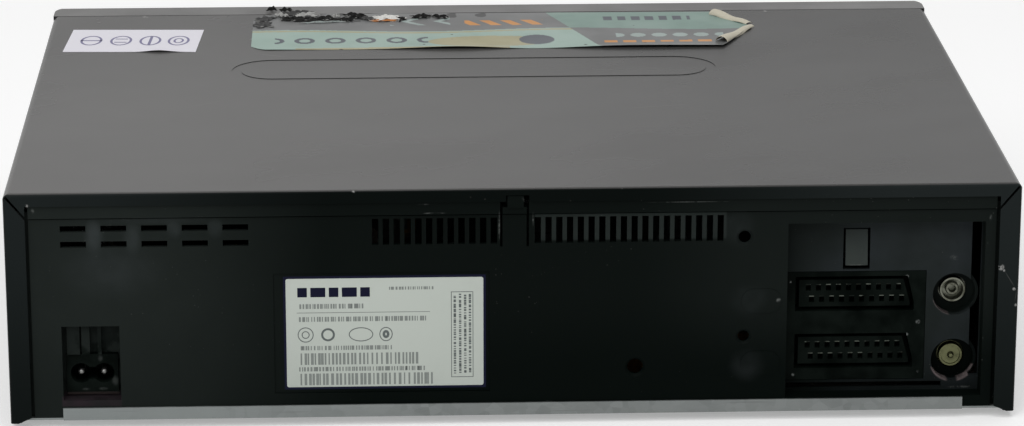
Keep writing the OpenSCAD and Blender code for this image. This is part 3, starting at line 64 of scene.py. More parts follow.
def srgb(r, g, b):
    """Linear colour from three numbers of 0 to 255, by the usual display curve."""
    c = np.array([r, g, b]) / 255.0
    c = np.where(c <= 0.04045, c / 12.92, ((c + 0.055) / 1.055) ** 2.4)
    return (float(c[0]), float(c[1]), float(c[2]), 1.0)


# Node graphs of the materials


class Finish:
    """One material: a Principled surface whose inputs are built up from procedural patterns."""

    def __init__(self, name, colour, rough, **sockets):
        self.material = bpy.data.materials.new(name)
        self.material.use_nodes = True
        self.tree = self.material.node_tree
        self.tree.nodes.clear()
        self.output = self.add("ShaderNodeOutputMaterial")
        self.surface = self.add("ShaderNodeBsdfPrincipled")
        self.tree.links.new(self.surface.outputs[0], self.output.inputs["Surface"])
        self.where = self.add("ShaderNodeTexCoord").outputs["Object"]
        self.set("Base Color", colour)
        self.set("Roughness", rough)
        for key, value in sockets.items():
            self.set(key.replace("_", " "), value)

    def add(self, kind, values=None, **settings):
        node = self.tree.nodes.new(kind)
        for key, value in settings.items():
            setattr(node, key, value)
        for key, value in (values or {}).items():
            self.put(node.inputs[key], value)
        return node

    def put(self, socket, value):
        if isinstance(value, bpy.types.NodeSocket):
            self.tree.links.new(value, socket)
        else:
            socket.default_value = value

    def set(self, key, value):
        self.put(self.surface.inputs[key], value)

    def stretched(self, scale, turn=(0.0, 0.0, 0.0)):
        """Object coordinates, turned by angles in radians and then scaled apart along the axes."""
        return self.add("ShaderNodeMapping", {"Vector": self.where, "Rotation": turn,
                                              "Scale": [1.0 / k for k in scale]},
                        vector_type="TEXTURE").outputs[0]

    def noise(self, scale, detail=3.0, rough=0.55, where=None, distortion=0.0):
        return self.add("ShaderNodeTexNoise", {
            "Vector": where or self.where, "Scale": scale, "Detail": detail,
            "Roughness": rough, "Distortion": distortion}).outputs["Fac"]

    def cells(self, scale):
        return self.add("ShaderNodeTexVoronoi", {"Vector": self.where, "Scale": scale}).outputs

    def span(self, value, low, high, out_low=0.0, out_high=1.0):
        """Runs from out_low to out_high as value goes from low to high, and holds at the ends."""
        return self.add("ShaderNodeMapRange", {
            "Value": value, "From Min": low, "From Max": high, "To Min": out_low,
            "To Max": out_high}, interpolation_type="SMOOTHSTEP").outputs[0]

    def combine(self, operation, a, b):
        return self.add("ShaderNodeMath", {0: a, 1: b}, operation=operation).outputs[0]

    def times(self, first, *others):
        """Product of two or more values."""
        for other in others:
            first = self.combine("MULTIPLY", first, other)
        return first

    def most(self, masks):
        """Greatest of several masks at each point."""
        greatest, *others = masks
        for mask in others:
            greatest = self.combine("MAXIMUM", greatest, mask)
        return greatest

    def mix(self, amount, a, b):
        node = self.add("ShaderNodeMix", data_type="RGBA")
        self.put(node.inputs[0], amount)
        self.put(node.inputs[6], a)
        self.put(node.inputs[7], b)
        return node.outputs[2]

    def axes(self):
        return self.add("ShaderNodeSeparateXYZ", {"Vector": self.where}).outputs

    def normals(self):
        normal = self.add("ShaderNodeTexCoord").outputs["Normal"]
        return self.add("ShaderNodeSeparateXYZ", {"Vector": normal}).outputs

    def facing(self, axis):
        """1 on what faces along the positive axis, 0 on what is turned away from it."""
        return self.span(self.normals()[axis], 0.5, 0.95)

    def vectors(self, operation, *inputs):
        """A step of vector arithmetic; its outputs are Vector and Value."""
        node = self.add("ShaderNodeVectorMath", dict(enumerate(inputs)), operation=operation)
        return node.outputs

    def patch(self, centre, radii, soft):
        """1 inside an ellipsoid in millimetres, falling softly to 0 at its surface."""
        scale = [float(1.0 / (r * MM)) for r in np.broadcast_to(radii, 3)]
        shift = [-c * MM * k for c, k in zip(centre, scale)]
        near = self.add("ShaderNodeMapping", {"Vector": self.where, "Scale": scale,
                                              "Location": shift}).outputs[0]
        return self.span(self.vectors("LENGTH", near)["Value"], 1.0, soft)

    def patches(self, rows, soft):
        """Greatest of several patches: each row is a centre and one radius or three."""
        return self.most(self.patch(centre, radii, soft) for centre, radii in rows)

    def streak(self, centre, radii, turn):
        """Like patch, with the ellipsoid turned by angles in degrees about X, Y and Z."""
        spin = Euler([math.radians(-a) for a in turn]).to_matrix()
        shift = spin @ Vector([-c * MM for c in centre])
        near = self.add("ShaderNodeMapping", {"Vector": self.where, "Location": shift,
                                              "Rotation": spin.to_euler()}).outputs[0]
        near = self.add("ShaderNodeMapping", {"Vector": near,
                                              "Scale": [1 / (r * MM) for r in radii]}).outputs[0]
        return self.span(self.vectors("LENGTH", near)["Value"], 1.0, 0.4)

    def box(self, low, high, soft):
        """1 inside a box in millimetres, falling to 0 over a short way outside it."""
        sides = []
        for axis, a, b in zip(self.axes(), low, high):
            sides.append(self.times(self.span(axis, (a - soft) * MM, a * MM),
                                    self.span(axis, b * MM, (b + soft) * MM, 1.0, 0.0)))
        return self.times(*sides)

    def beside(self, x, z):
        """Distance in metres from a line along Y through a point in millimetres."""
        away = self.vectors("SUBTRACT", self.where, (x * MM, 0.0, z * MM))["Vector"]
        flat = self.vectors("MULTIPLY", away, (1.0, 0.0, 1.0))["Vector"]
        return self.vectors("LENGTH", flat)["Value"]

    def relief(self, *layers):
        """Bumps stacked on each other: (height, strength, distance)."""
        normal = None
        for height, strength, distance in layers:
            bump = self.add("ShaderNodeBump", {"Height": height, "Strength": strength,
                                               "Distance": distance})
            if normal is not None:
                self.put(bump.inputs["Normal"], normal)
            normal = bump.outputs[0]
        self.set("Normal", normal)


def paint_finish():
    """Dark stoved paint of the cover: fine grain, a pale film on top that is partly dust and partly
    painted sheen, painted shade on the faces turned to the rear, hairlines and chips.
    """
    f = Finish("cover_paint", srgb(11, 12, 12), 0.3, Specular_IOR_Level=0.135)
    cloud = f.noise(7.0, 4.0, 0.6)
    smudge = f.noise(1.0, 4.0, 0.6, f.stretched((9.0, 16.0, 16.0), (0.0, 0.0, 0.35)))
    grain = f.noise(2200.0, 2.0)
    speck = f.times(f.span(f.cells(300.0)["Distance"], 0.06, 0.02),
                    f.span(f.noise(18.0), 0.5, 0.62))
    tone = f.mix(f.span(cloud, 0.3, 0.75), srgb(9, 11, 11), srgb(15, 16, 16))
    x, y, z = f.axes()
    # pale film on the top faces, partly dust and partly painted sheen of the overhead light: paler
    # towards +X and towards the rear
    film = f.times(f.facing("Z"), f.span(x, -0.19, 0.19, 0.52, 1.0),
                   f.span(y, -0.13, 0.06, 0.78, 1.0), f.span(cloud, 0.25, 0.8, 0.85, 1.0))
    tone = f.mix(film, tone, srgb(89, 88, 87))
    # painted shade: faces turned to the rear take a tone of their own, dark in the middle and paler
    # towards both ends and upwards, and a far lower specular level
    shaded_rear_faces = f.facing("Y")
    haze = f.times(f.most([f.span(x, 0.05, 0.2), f.span(x, -0.04, -0.16, 0.05, 1.15)]),
                   f.span(z, 0.0, 0.085, 0.35, 1.0), f.span(cloud, 0.25, 0.75, 0.8, 1.0))
    tone = f.mix(shaded_rear_faces, tone, f.mix(haze, srgb(5, 10, 8), srgb(34, 39, 39)))
    # the specular level falls on faces turned to the rear and towards the front of the top, a
    # painted shade
    f.set("Specular IOR Level", f.times(f.span(shaded_rear_faces, 0.0, 1.0, 0.135, 0.025),
                                        f.span(y, -0.13, 0.06, 0.66, 1.0)))
    tone = f.mix(f.times(speck, 0.4), tone, srgb(125, 122, 116))
    chips = f.patches((((-183.0, 142.5, 60.1), 1.5), ((-188.2, 142.5, 51.5), 0.8),
                       ((-184.2, 142.5, 58.8), 0.6), ((189.9, 60.0, 93.0), 1.0),
                       ((-189.2, 142.0, 45.1), 1.0), ((181.0, 142.5, 88.0), 1.2),
                       ((60.0, 142.5, 92.8), 0.9), ((-40.0, 142.6, 93.0), 0.8),
                       ((189.6, 120.0, 60.0), 1.1), ((-189.8, -40.0, 20.0), 1.4),
                       ((150.0, -124.0, 93.0), 1.6), ((-120.0, -124.0, 93.0), 1.2)), 0.4)
    chips = f.times(chips, f.span(f.noise(900.0, 2.0), 0.4, 0.55))
    hairs = f.most(f.streak(*row) for row in (
        ((-186.4, 142.5, 55.4), (0.18, 1.0, 4.6), (0, 32, 0)),
        ((-188.9, 142.5, 48.6), (0.14, 1.0, 2.6), (0, -8, 0)),
        ((94.0, -56.0, 93.0), (9.0, 0.5, 0.4), (0, 0, -24)),
        ((-104.0, -130.0, 93.0), (0.5, 5.0, 0.4), (0, 0, -30)),
        ((-60.0, 30.0, 93.0), (16.0, 0.25, 0.4), (0, 0, 12)),
        ((48.0, 84.0, 93.0), (22.0, 0.2, 0.4), (0, 0, -7)),
        ((120.0, 20.0, 93.0), (12.0, 0.2, 0.4), (0, 0, 31))))
    tone = f.mix(f.times(hairs, 0.45), tone, srgb(96, 96, 94))
    f.set("Base Color", f.mix(chips, tone, srgb(150, 150, 148)))
    f.set("Roughness", f.span(smudge, 0.3, 0.75, 0.24, 0.3))
    f.relief((grain, 0.09, 0.00003), (f.noise(26.0, 2.0), 0.03, 0.0004))
    return f.material


def rear_plastic_finish():
    """Black moulded polystyrene: spark-eroded grain, dusty haze, scuffs and stray specks, with
    painted highlights on some edges, between the upright vents, on the bay's small plate and on the
    lower walls of the aerial wells, and painted shade in the mains recess.
    """
    f = Finish("rear_plastic", srgb(4, 9, 7), 0.5, Specular_IOR_Level=0.03)
    grain = f.noise(1500.0, 3.0)
    cloud = f.noise(14.0, 5.0, 0.65)
    dust = f.patches((((150.0, PANEL_Y, 62.0), (24.0, 9.0, 14.0)),
                      ((-84.0, PANEL_Y, 76.0), 9.0),
                      ((-150.0, BAY_Y, 66.0), (26.0, 9.0, 13.0)),
                      ((-88.0, PANEL_Y, 48.0), 9.0),
                      ((-88.0, PANEL_Y, 22.0), (8.0, 9.0, 8.0))), 0.15)
    dust = f.times(dust, f.span(cloud, 0.36, 0.7))
    # scuffs and nicks, and among them painted highlights: pale lines beside the slits for the
    # cover's tongue, along the upper edges of the panel's top strip, and a spot beside a screw hole
    wear_and_highlights = f.patches((((5.7, 141.2, 78.0), (0.5, 2.0, 7.0)),
                      ((-6.9, 141.2, 80.5), (0.4, 2.0, 3.5)),
                      ((34.0, 142.0, 87.0), (3.0, 1.4, 0.4)),
                      ((30.0, 141.6, 83.5), (5.0, 1.4, 0.4)),
                      ((-66.0, 142.0, 86.8), (22.0, 1.4, 0.3)),
                      ((-84.2, 141.0, 70.7), (0.9, 2.0, 1.0)),
                      ((179.0, 141.3, 86.0), (0.8, 2.0, 1.4)),
                      ((-3.0, 142.0, 89.0), (0.7, 2.0, 1.6)),
                      ((-129.6, 132.8, 58.4), (4.4, 1.2, 0.6)),
                      ((-104.7, 132.8, 35.2), (0.9, 1.0, 1.5)),
                      ((-107.7, 132.8, 10.6), (5.0, 2.0, 1.0)),
                      ((-139.4, 132.8, 10.8), (1.6, 2.0, 1.0)),
                      ((-160.8, 132.8, 46.1), (1.0, 1.2, 1.6)),
                      ((-170.1, 132.8, 9.2), (5.0, 2.0, 0.6)),
                      ((-167.0, 132.7, 61.0), (2.4, 1.0, 1.4)),
                      ((-178.8, 141.0, 79.0), (0.7, 2.0, 1.6)),
                      ((-99.5, 141.0, 47.5), (1.2, 2.0, 1.2))), 0.3)
    wear_and_highlights = f.times(wear_and_highlights, f.span(f.noise(260.0, 4.0, 0.7), 0.42, 0.62))
    speck = f.times(f.span(f.cells(420.0)["Distance"], 0.07, 0.03),
                    f.span(f.noise(25.0), 0.5, 0.64))
    x, y, z = f.axes()

    # haze towards both ends, and dust columns between the level vents
    left_haze = f.times(f.span(x, 0.05, 0.142), f.span(z, 0.005, 0.05, 0.75, 1.0))
    right_haze = f.times(f.span(x, -0.04, -0.1, 0.14, 0.5), f.span(z, 0.018, 0.055, 0.05, 1.0))
    haze = f.times(f.most([left_haze, right_haze]), f.span(cloud, 0.25, 0.75, 0.75, 1.0))
    tone = f.mix(haze, srgb(4, 9, 7), srgb(37, 42, 40))
    columns = f.most(f.times(f.patch(centre, radii, 0.2), amount) for centre, radii, amount in (
        ((156.7, PANEL_Y, 75.5), (4.4, 9.0, 9.0), 1.0),
        ((142.5, PANEL_Y, 75.3), (4.4, 9.0, 8.0), 0.7),
        ((127.1, PANEL_Y, 78.6), (4.2, 9.0, 5.0), 0.6),
        ((111.7, PANEL_Y, 78.4), (4.2, 9.0, 5.0), 0.5),
        ((134.0, PANEL_Y, 81.6), (26.0, 9.0, 2.0), 0.4)))
    columns = f.times(columns, f.span(f.noise(120.0, 4.0), 0.3, 0.6, 0.6, 1.0))
    tone = f.mix(columns, tone, srgb(54, 59, 59))

    # painted highlight on the plastic between the upright vents, painted shade in the mains recess,
    # and a reddish sill there
    rib_highlights = f.times(f.box((-79.0, 139.0, 72.6), (-8.0, 142.0, 82.2), 0.8),
                   f.span(cloud, 0.3, 0.7, 0.5, 0.9))
    tone = f.mix(rib_highlights, tone, srgb(43, 49, 47))
    # painted shade in the mains recess, heavier low down and broken up by noise
    recess = f.times(f.box((146.0, 120.0, 5.0), (171.5, 139.8, 41.5), 0.3),
                     f.span(f.noise(130.0, 4.0, 0.6, None, 0.6), 0.44, 0.6),
                     f.span(z, 0.038, 0.027, 0.35, 0.9))
    tone = f.mix(recess, tone, srgb(3, 9, 6))
    sill = f.times(f.box((148.4, 120.0, 8.9), (170.2, 142.0, 12.4), 0.5),
                   f.span(f.noise(160.0, 3.0), 0.3, 0.6, 0.45, 0.95))
    tone = f.mix(sill, tone, srgb(47, 40, 44))

    # the dusty floor of the socket bay, and a painted highlight on the small plate that stands on
    # it, lighter towards its foot
    bay = f.times(f.span(y, 0.1338, 0.1328), f.span(x, -0.106, -0.132, 0.2, 1.0),
                  f.span(x, -0.1, -0.102), f.span(x, -0.145, -0.16, 1.0, 1.25),
                  f.span(z, 0.008, 0.05, 0.35, 1.0), f.span(y, 0.129, 0.131),
                  f.span(cloud, 0.25, 0.75, 0.5, 0.85))
    blue = f.mix(f.span(f.noise(22.0, 4.0, 0.6), 0.35, 0.65), srgb(38, 43, 42), srgb(50, 55, 58))
    tone = f.mix(bay, tone, blue)
    tab_highlight = f.times(f.box((-133.7, 130.9, 58.6), (-125.5, 133.2, 72.2), 0.1),
                  f.span(z, 0.0725, 0.06, 0.6, 1.0))
    tone = f.mix(tab_highlight, tone, f.mix(f.span(cloud, 0.3, 0.7), srgb(57, 62, 60), srgb(67, 73, 70)))
    tone = f.mix(f.times(dust, 0.5), tone, srgb(57, 62, 63))

    def lit_well_wall(middle_z, inner, outer, top, bottom):
        """Painted light on the upward-facing lower part of a well's wall, between two radii and
        below a height.
        """
        away = f.beside(WELL_X, middle_z)
        soft = 0.0006
        return f.times(f.span(away, inner, inner + soft), f.span(away, outer, outer - soft),
                       f.span(z, top, bottom), f.span(y, 0.1275, 0.1295))

    aside = f.combine("ABSOLUTE", f.combine("SUBTRACT", x, WELL_X * MM), 0.0)
    lower = f.times(lit_well_wall(LOWER_WELL_Z, 0.0072, 0.0092, 0.0178, 0.0168),
                    f.span(aside, 0.0014, 0.0026))
    upper = f.times(lit_well_wall(UPPER_WELL_Z, 0.0068, 0.0088, 0.0452, 0.0438),
                    f.span(x, -0.1658, -0.1646, 0.0, 0.7))
    # painted light on the lower walls of both aerial wells, broken up by noise
    well_wall_light = f.times(f.most([lower, upper]), f.span(f.noise(300.0, 3.0), 0.3, 0.6, 0.4, 1.0))
    tone = f.mix(well_wall_light, tone, srgb(104, 95, 95))
    tone = f.mix(f.times(speck, 0.6), tone, srgb(120, 122, 118))
    f.set("Base Color", f.mix(f.times(wear_and_highlights, 0.5), tone, srgb(126, 130, 127)))
    f.set("Roughness", f.span(cloud, 0.3, 0.7, 0.46, 0.62))
    f.relief((grain, 0.3, 0.00005), (f.noise(35.0), 0.08, 0.0006))
    return f.material


def plastic_finish(name, colour, rough, grain=1400.0, depth=0.3):
    """Moulded plastic of one colour: cloudy tone, fine grain and light scuffs."""
    f = Finish(name, colour, rough)
    cloud = f.noise(30.0, 4.0)
    scuff = f.span(f.noise(1.0, 2.0, 0.5, f.stretched((300.0, 30.0, 60.0), (0.3, 0.2, 0.6))),
                   0.66, 0.74)
    pale = tuple(min(1.0, c * 1.8 + 0.03) for c in colour[:3]) + (1.0,)
    dark = tuple(c * 0.82 for c in colour[:3]) + (1.0,)
    tone = f.mix(f.span(cloud, 0.3, 0.7), dark, colour)
    f.set("Base Color", f.mix(f.times(scuff, 0.08), tone, pale))
    f.set("Roughness", f.span(cloud, 0.3, 0.7, rough * 0.9, min(1.0, rough * 1.15)))
    f.relief((f.noise(grain, 2.0), depth, 0.00004))
    return f.material


def front_moulding_finish():
    """Dark grey moulding of the front: fine grain, scuffs, and a paler tone on what faces upwards.
    """
    f = Finish("front_moulding", srgb(24, 24, 26), 0.34, Specular_IOR_Level=0.3)
    cloud = f.noise(24.0, 4.0)
    scuff = f.span(f.noise(1.0, 2.0, 0.5, f.stretched((16.0, 500.0, 300.0), (0.0, 0.0, 0.1))),
                   0.66, 0.74)
    film = f.times(f.facing("Z"), f.span(f.noise(40.0, 5.0), 0.3, 0.6, 0.75, 1.0))
    tone = f.mix(f.span(cloud, 0.3, 0.7), srgb(21, 21, 23), srgb(27, 27, 29))
    tone = f.mix(film, tone, srgb(98, 97, 96))
    f.set("Base Color", f.mix(f.times(scuff, 0.3), tone, srgb(20, 20, 20)))
    f.set("Roughness", f.span(cloud, 0.3, 0.7, 0.3, 0.4))
    f.relief((f.noise(1300.0, 2.0), 0.22, 0.00004))
    return f.material


def socket_block_finish():
    """Black moulding round the picture sockets: fine grain and pale nicks at its corners."""
    f = Finish("socket_moulding", srgb(4, 8, 6), 0.4, Specular_IOR_Level=0.025)
    cloud = f.noise(60.0, 4.0)
    tone = f.mix(f.span(cloud, 0.35, 0.65), srgb(2, 6, 4), srgb(17, 23, 20))
    smears = f.patches((((150.6, 136.0, 17.2), (1.7, 1.5, 2.6)),
                        ((161.7, 136.0, 14.0), (1.9, 1.5, 0.7)),
                        ((155.2, 136.0, 14.1), (2.2, 1.5, 0.8)),
                        ((156.0, 136.0, 26.2), (1.2, 1.5, 1.6))), 0.2)
    smears = f.times(smears, f.span(f.noise(420.0, 3.0), 0.3, 0.6, 0.3, 0.8))
    tone = f.mix(smears, tone, srgb(62, 66, 64))
    nicks = f.patches((((-149.0, 132.4, 53.8), 0.9), ((-151.3, 132.4, 41.7), 0.7),
                       ((-149.4, 132.4, 30.6), 0.9), ((-153.6, 132.4, 35.6), 1.1),
                       ((-104.7, 132.4, 52.0), 0.6), ((-154.2, 132.4, 15.6), 0.7),
                       ((-106.4, 132.4, 14.9), 0.8), ((-148.2, 132.4, 47.0), 0.6)), 0.3)
    nicks = f.times(nicks, f.span(f.noise(700.0, 2.0), 0.36, 0.6))
    f.set("Base Color", f.mix(nicks, tone, srgb(112, 116, 114)))
    f.set("Roughness", f.span(cloud, 0.3, 0.7, 0.34, 0.46))
    f.relief((f.noise(900.0, 2.0), 0.15, 0.00004))
    return f.material


def metal_finish(name, colour, rough, stretch=(1.0, 1.0, 1.0)):
    """Bare metal: brushed or rolled grain, stains and fine scratches."""
    f = Finish(name, colour, rough, Metallic=1.0)
    grain = f.noise(1.0, 3.0, 0.6, f.stretched(tuple(900.0 * s for s in stretch)))
    cloud = f.noise(40.0, 4.0, 0.6)
    dark = tuple(c * 0.62 for c in colour[:3]) + (1.0,)
    f.set("Base Color", f.mix(f.span(cloud, 0.45, 0.75, 0.0, 0.5), colour, dark))
    f.set("Roughness", f.span(grain, 0.3, 0.7, rough * 0.8, min(1.0, rough * 1.3)))
    f.relief((grain, 0.15, 0.00003))
    return f.material


def drum_finish():
    """Machined alloy of the head drum, shiny above; its side towards the rear vents is painted
    dark, matt and mottled as painted shade.
    """
    f = Finish("drum_alloy", srgb(200, 201, 202), 0.25, Metallic=1.0)
    grain = f.noise(1.0, 3.0, 0.6, f.stretched((900.0, 900.0, 36.0)))
    # painted shade: what faces sideways towards the rear vents turns dark, mottled, matt and not
    # metallic
    side = f.times(f.span(f.normals()["Z"], 0.6, 0.3), f.span(f.axes()["Y"], 0.005, 0.04))
    dust = f.mix(f.span(f.noise(60.0, 4.0), 0.3, 0.7), srgb(16, 20, 18), srgb(30, 33, 31))
    f.set("Base Color", f.mix(side, srgb(200, 201, 202), dust))
    f.set("Metallic", f.span(side, 0.0, 1.0, 1.0, 0.0))
    f.set("Roughness", f.span(side, 0.0, 1.0, 0.25, 0.7))
    f.relief((grain, 0.15, 0.00003))
    return f.material


def contact_finish():
    """Contact springs of the picture sockets, with painted glints: noise makes some pale and some
    dull, and they are dimmer below about 22 mm.
    """
    f = Finish("contact_metal", srgb(74, 72, 62), 0.34, Metallic=1.0)
    # painted glints laid into the colour by noise, dimmer below about 22 mm
    painted_glints = f.span(f.noise(230.0, 2.0), 0.42, 0.6)
    painted_glints = f.times(painted_glints, f.span(f.axes()["Z"], 0.0222, 0.0234, 0.25, 1.0))
    tone = f.mix(painted_glints, srgb(24, 28, 26), srgb(84, 89, 82))
    stain = f.span(f.noise(700.0, 3.0), 0.5, 0.7)
    f.set("Base Color", f.mix(f.times(stain, 0.5), tone, srgb(40, 38, 30)))
    f.relief((f.noise(1500.0, 2.0), 0.15, 0.00003))
    return f.material


def aged_nickel_finish():
    """Tarnished plating of the aerial sockets: the lower one is yellower."""
    f = Finish("aged_nickel", srgb(112, 111, 98), 0.4, Metallic=1.0)
    z = f.axes()["Z"]
    plated = f.mix(f.span(z, 0.032, 0.034), srgb(98, 100, 73), srgb(119, 121, 110))
    stain = f.span(f.noise(170.0, 5.0, 0.7), 0.4, 0.66)
    f.set("Base Color", f.mix(f.times(stain, 0.6), plated, srgb(66, 65, 50)))
    f.set("Roughness", f.span(stain, 0.0, 1.0, 0.34, 0.55))
    f.relief((f.noise(900.0, 3.0), 0.2, 0.00004))
    return f.material


def zinc_finish():
    """Galvanised sheet: faint spangle of flat crystals, dull bloom and scratches."""
    f = Finish("galvanised_steel", srgb(130, 134, 133), 0.46, Metallic=0.85)
    spangle = f.add("ShaderNodeSeparateColor", {"Color": f.cells(260.0)["Color"]}).outputs[0]
    bloom = f.span(f.noise(28.0, 5.0, 0.65), 0.4, 0.75)
    scratch = f.span(f.noise(1.0, 2.0, 0.5, f.stretched((20.0, 500.0, 700.0))), 0.66, 0.74)
    tone = f.mix(spangle, srgb(116, 120, 119), srgb(130, 134, 133))
    tone = f.mix(f.times(bloom, 0.4), tone, srgb(146, 150, 148))
    tone = f.mix(f.span(f.axes()["X"], 0.02, 0.17, 0.0, 0.6), tone, srgb(140, 146, 145))
    f.set("Base Color", f.mix(f.times(scratch, 0.3), tone, srgb(92, 94, 94)))
    f.set("Roughness", f.combine("ADD", f.span(spangle, 0.0, 1.0, 0.42, 0.5),
                                 f.times(bloom, 0.14)))
    f.relief((f.noise(700.0, 2.0), 0.12, 0.00003))
    return f.material


def board_finish():
    """Phenolic board: brown base and faint copper tracks under varnish, with painted shade where
    its edge shows near the mains recess and the lower aerial well.
    """
    f = Finish("phenolic_board", srgb(148, 104, 58), 0.38)
    brick = f.add("ShaderNodeTexBrick", {"Vector": f.where, "Scale": 90.0, "Mortar Size": 0.03,
                                         "Color1": (0, 0, 0, 1), "Color2": (0.3, 0.3, 0.3, 1),
                                         "Mortar": (1, 1, 1, 1)}).outputs["Fac"]
    tone = f.mix(f.span(f.noise(60.0, 4.0), 0.3, 0.7), srgb(130, 88, 46), srgb(160, 116, 66))
    tone = f.mix(f.times(brick, 0.4), tone, srgb(188, 140, 80))
    # painted shade on the board where its edge shows near the mains recess and the lower aerial
    # well
    board_edge_shade = f.patches((((159.0, 135.0, 12.0), (14.0, 10.0, 5.0)),
                       ((-176.0, 128.0, 12.0), (16.0, 14.0, 6.0))), 0.8)
    f.set("Base Color", f.mix(board_edge_shade, tone, f.mix(f.span(f.noise(150.0, 4.0), 0.5, 0.7),
                                                 srgb(60, 48, 46), srgb(84, 72, 69))))
    f.relief((brick, 0.2, 0.00006))
    return f.material


def rubber_finish():
    """Black rubber with a dull bloom and pressed-in dust."""
    f = Finish("black_rubber", srgb(26, 26, 26), 0.8)
    f.set("Base Color", f.mix(f.span(f.noise(90.0, 5.0), 0.45, 0.8), srgb(22, 22, 22),
                              srgb(62, 61, 58)))
    f.relief((f.noise(1200.0, 2.0), 0.4, 0.00005))
    return f.material


def glossy_window_finish():
    """Smoked acrylic: near black and glossy, with fine wipe marks."""
    f = Finish("smoked_acrylic", srgb(9, 9, 11), 0.08, Specular_IOR_Level=0.15,
               Coat_Weight=0.12, Coat_Roughness=0.03)
    wipe = f.noise(1.0, 3.0, 0.5, f.stretched((30.0, 30.0, 400.0)))
    f.set("Roughness", f.span(wipe, 0.4, 0.75, 0.06, 0.2))
    return f.material


def paper_finish(name, colour, rough, dirt, level=0.5):
    """Sticker film: cloudy tone, grime at random places, faint waves."""
    f = Finish(name, colour, rough, Specular_IOR_Level=level)
    dark = tuple(c * 0.72 for c in colour[:3]) + (1.0,)
    grime = f.span(f.noise(55.0, 6.0, 0.7), 0.5, 0.8)
    f.set("Base Color", f.mix(f.times(grime, dirt), colour, dark))
    f.relief((f.noise(200.0, 3.0), 0.08, 0.0002))
    return f.material


def printed_finish(name="printed_film", rough=0.42, level=0.5):
    """Film printed in several colours: the colours come from the piece's own attribute."""
    f = Finish(name, (0.5, 0.5, 0.5, 1.0), rough, Specular_IOR_Level=level)
    ink = f.add("ShaderNodeAttribute", attribute_name="print").outputs["Color"]
    grime = f.span(f.noise(60.0, 6.0, 0.7), 0.45, 0.85)
    f.set("Base Color", f.mix(f.times(grime, 0.22), ink, srgb(96, 96, 92)))
    f.set("Roughness", f.span(f.noise(30.0), 0.3, 0.7, rough - 0.06, rough + 0.08))
    f.relief((f.noise(240.0, 3.0), 0.1, 0.0002))
    return f.material


finishes = {
    "cover_steel": paint_finish(),
    "zinc_plate": zinc_finish(),
    "black_plastic": rear_plastic_finish(),
    "frame_plastic": plastic_finish("frame_plastic", srgb(56, 56, 57), 0.55),
    "rubber": rubber_finish(),
    "steel": metal_finish("plated_steel", srgb(176, 176, 174), 0.28, (1.0, 1.0, 0.05)),
    "window_plastic": glossy_window_finish(),
    "label_film": paper_finish("label_film", srgb(196, 203, 195), 0.42, 0.12),
    "white_paper": paper_finish("white_paper", srgb(230, 228, 236), 0.5, 0.06),
    "sticker_paper": printed_finish(),
    "key_plastic": plastic_finish("key_plastic", srgb(46, 46, 48), 0.38, 1000.0, 0.2),
    "gold_contact": contact_finish(),
    "tinned_can": metal_finish("tinned_plate", srgb(140, 140, 136), 0.38),
    "socket_metal": aged_nickel_finish(),
    "board_material": board_finish(),
    "winding": plastic_finish("transformer_tape", srgb(196, 150, 52), 0.4, 300.0, 0.5),
    "capacitor_sleeve": plastic_finish("capacitor_sleeve", srgb(32, 40, 84), 0.25, 200.0, 0.05),
    "aluminium": metal_finish("machined_aluminium", srgb(200, 201, 202), 0.25, (1.0, 1.0, 0.04)),
    "chip_black": plastic_finish("chip_epoxy", srgb(34, 34, 35), 0.5),
    "tube_glass": plastic_finish("tube_glass", srgb(58, 74, 80), 0.12, 200.0, 0.02),
    "bronze": metal_finish("sintered_bronze", srgb(190, 150, 92), 0.45),
    "ivory_plastic": plastic_finish("ivory_acetal", srgb(216, 210, 192), 0.4),
    "grey_plastic": plastic_finish("grey_acetal", srgb(96, 97, 98), 0.42),
}
front_finish = front_moulding_finish()
block_finish = socket_block_finish()
ink_dark = paper_finish("blue_black_ink", srgb(22, 24, 46), 0.4, 0.1, 0.06)
ink_grey = paper_finish("grey_ink", srgb(96, 103, 102), 0.4, 0.1, 0.3)
ink_pale = paper_finish("pale_grey_ink", srgb(132, 138, 134), 0.4, 0.1, 0.3)
ink_violet = paper_finish("violet_ink", srgb(104, 100, 140), 0.4, 0.1)
mark_white = paper_finish("key_mark_ink", srgb(188, 188, 186), 0.4, 0.1)

slot_of = {p["node"]: p["material_slot"] for p in frame["record"]["subparts"]}
drum_metal = drum_finish()
own_finish = {"front_panel": front_finish, "cassette_door": front_finish,
              "upper_drum": drum_metal, "lower_drum": drum_metal,
              "tape_heads": metal_finish("head_case_steel", srgb(96, 96, 94), 0.42),
              "mains_pins": metal_finish("dull_pin_steel", srgb(128, 128, 126), 0.4),
              "scart_sockets": block_finish, "mains_inlet": block_finish}
for name, obj in nodes.items():
    obj.data.materials.clear()
    obj.data.materials.append(own_finish.get(name) or finishes[slot_of[name]])


# Shapes

SHARP_DEGREES = 38
INK_THICK = 0.02


def finish_mesh(name, verts, faces, material, smooth=True):
    """A closed mesh object from points in millimetres, with its faces turned outwards."""
    mesh = bpy.data.meshes.new(name)
    mesh.from_pydata((np.asarray(verts) * MM).tolist(), [], [list(map(int, f)) for f in faces])
    work = bmesh.new()
    work.from_mesh(mesh)
    bmesh.ops.remove_doubles(work, verts=work.verts, dist=1e-7)
    bmesh.ops.recalc_face_normals(work, faces=work.faces)
    work.to_mesh(mesh)
    work.free()
    if smooth:
        mesh.polygons.foreach_set("use_smooth", np.ones(len(mesh.polygons), bool))
        mesh.set_sharp_from_angle(angle=math.radians(SHARP_DEGREES))
    mesh.materials.append(material)
    obj = bpy.data.objects.new(name, mesh)
    bpy.context.scene.collection.objects.link(obj)
    return obj


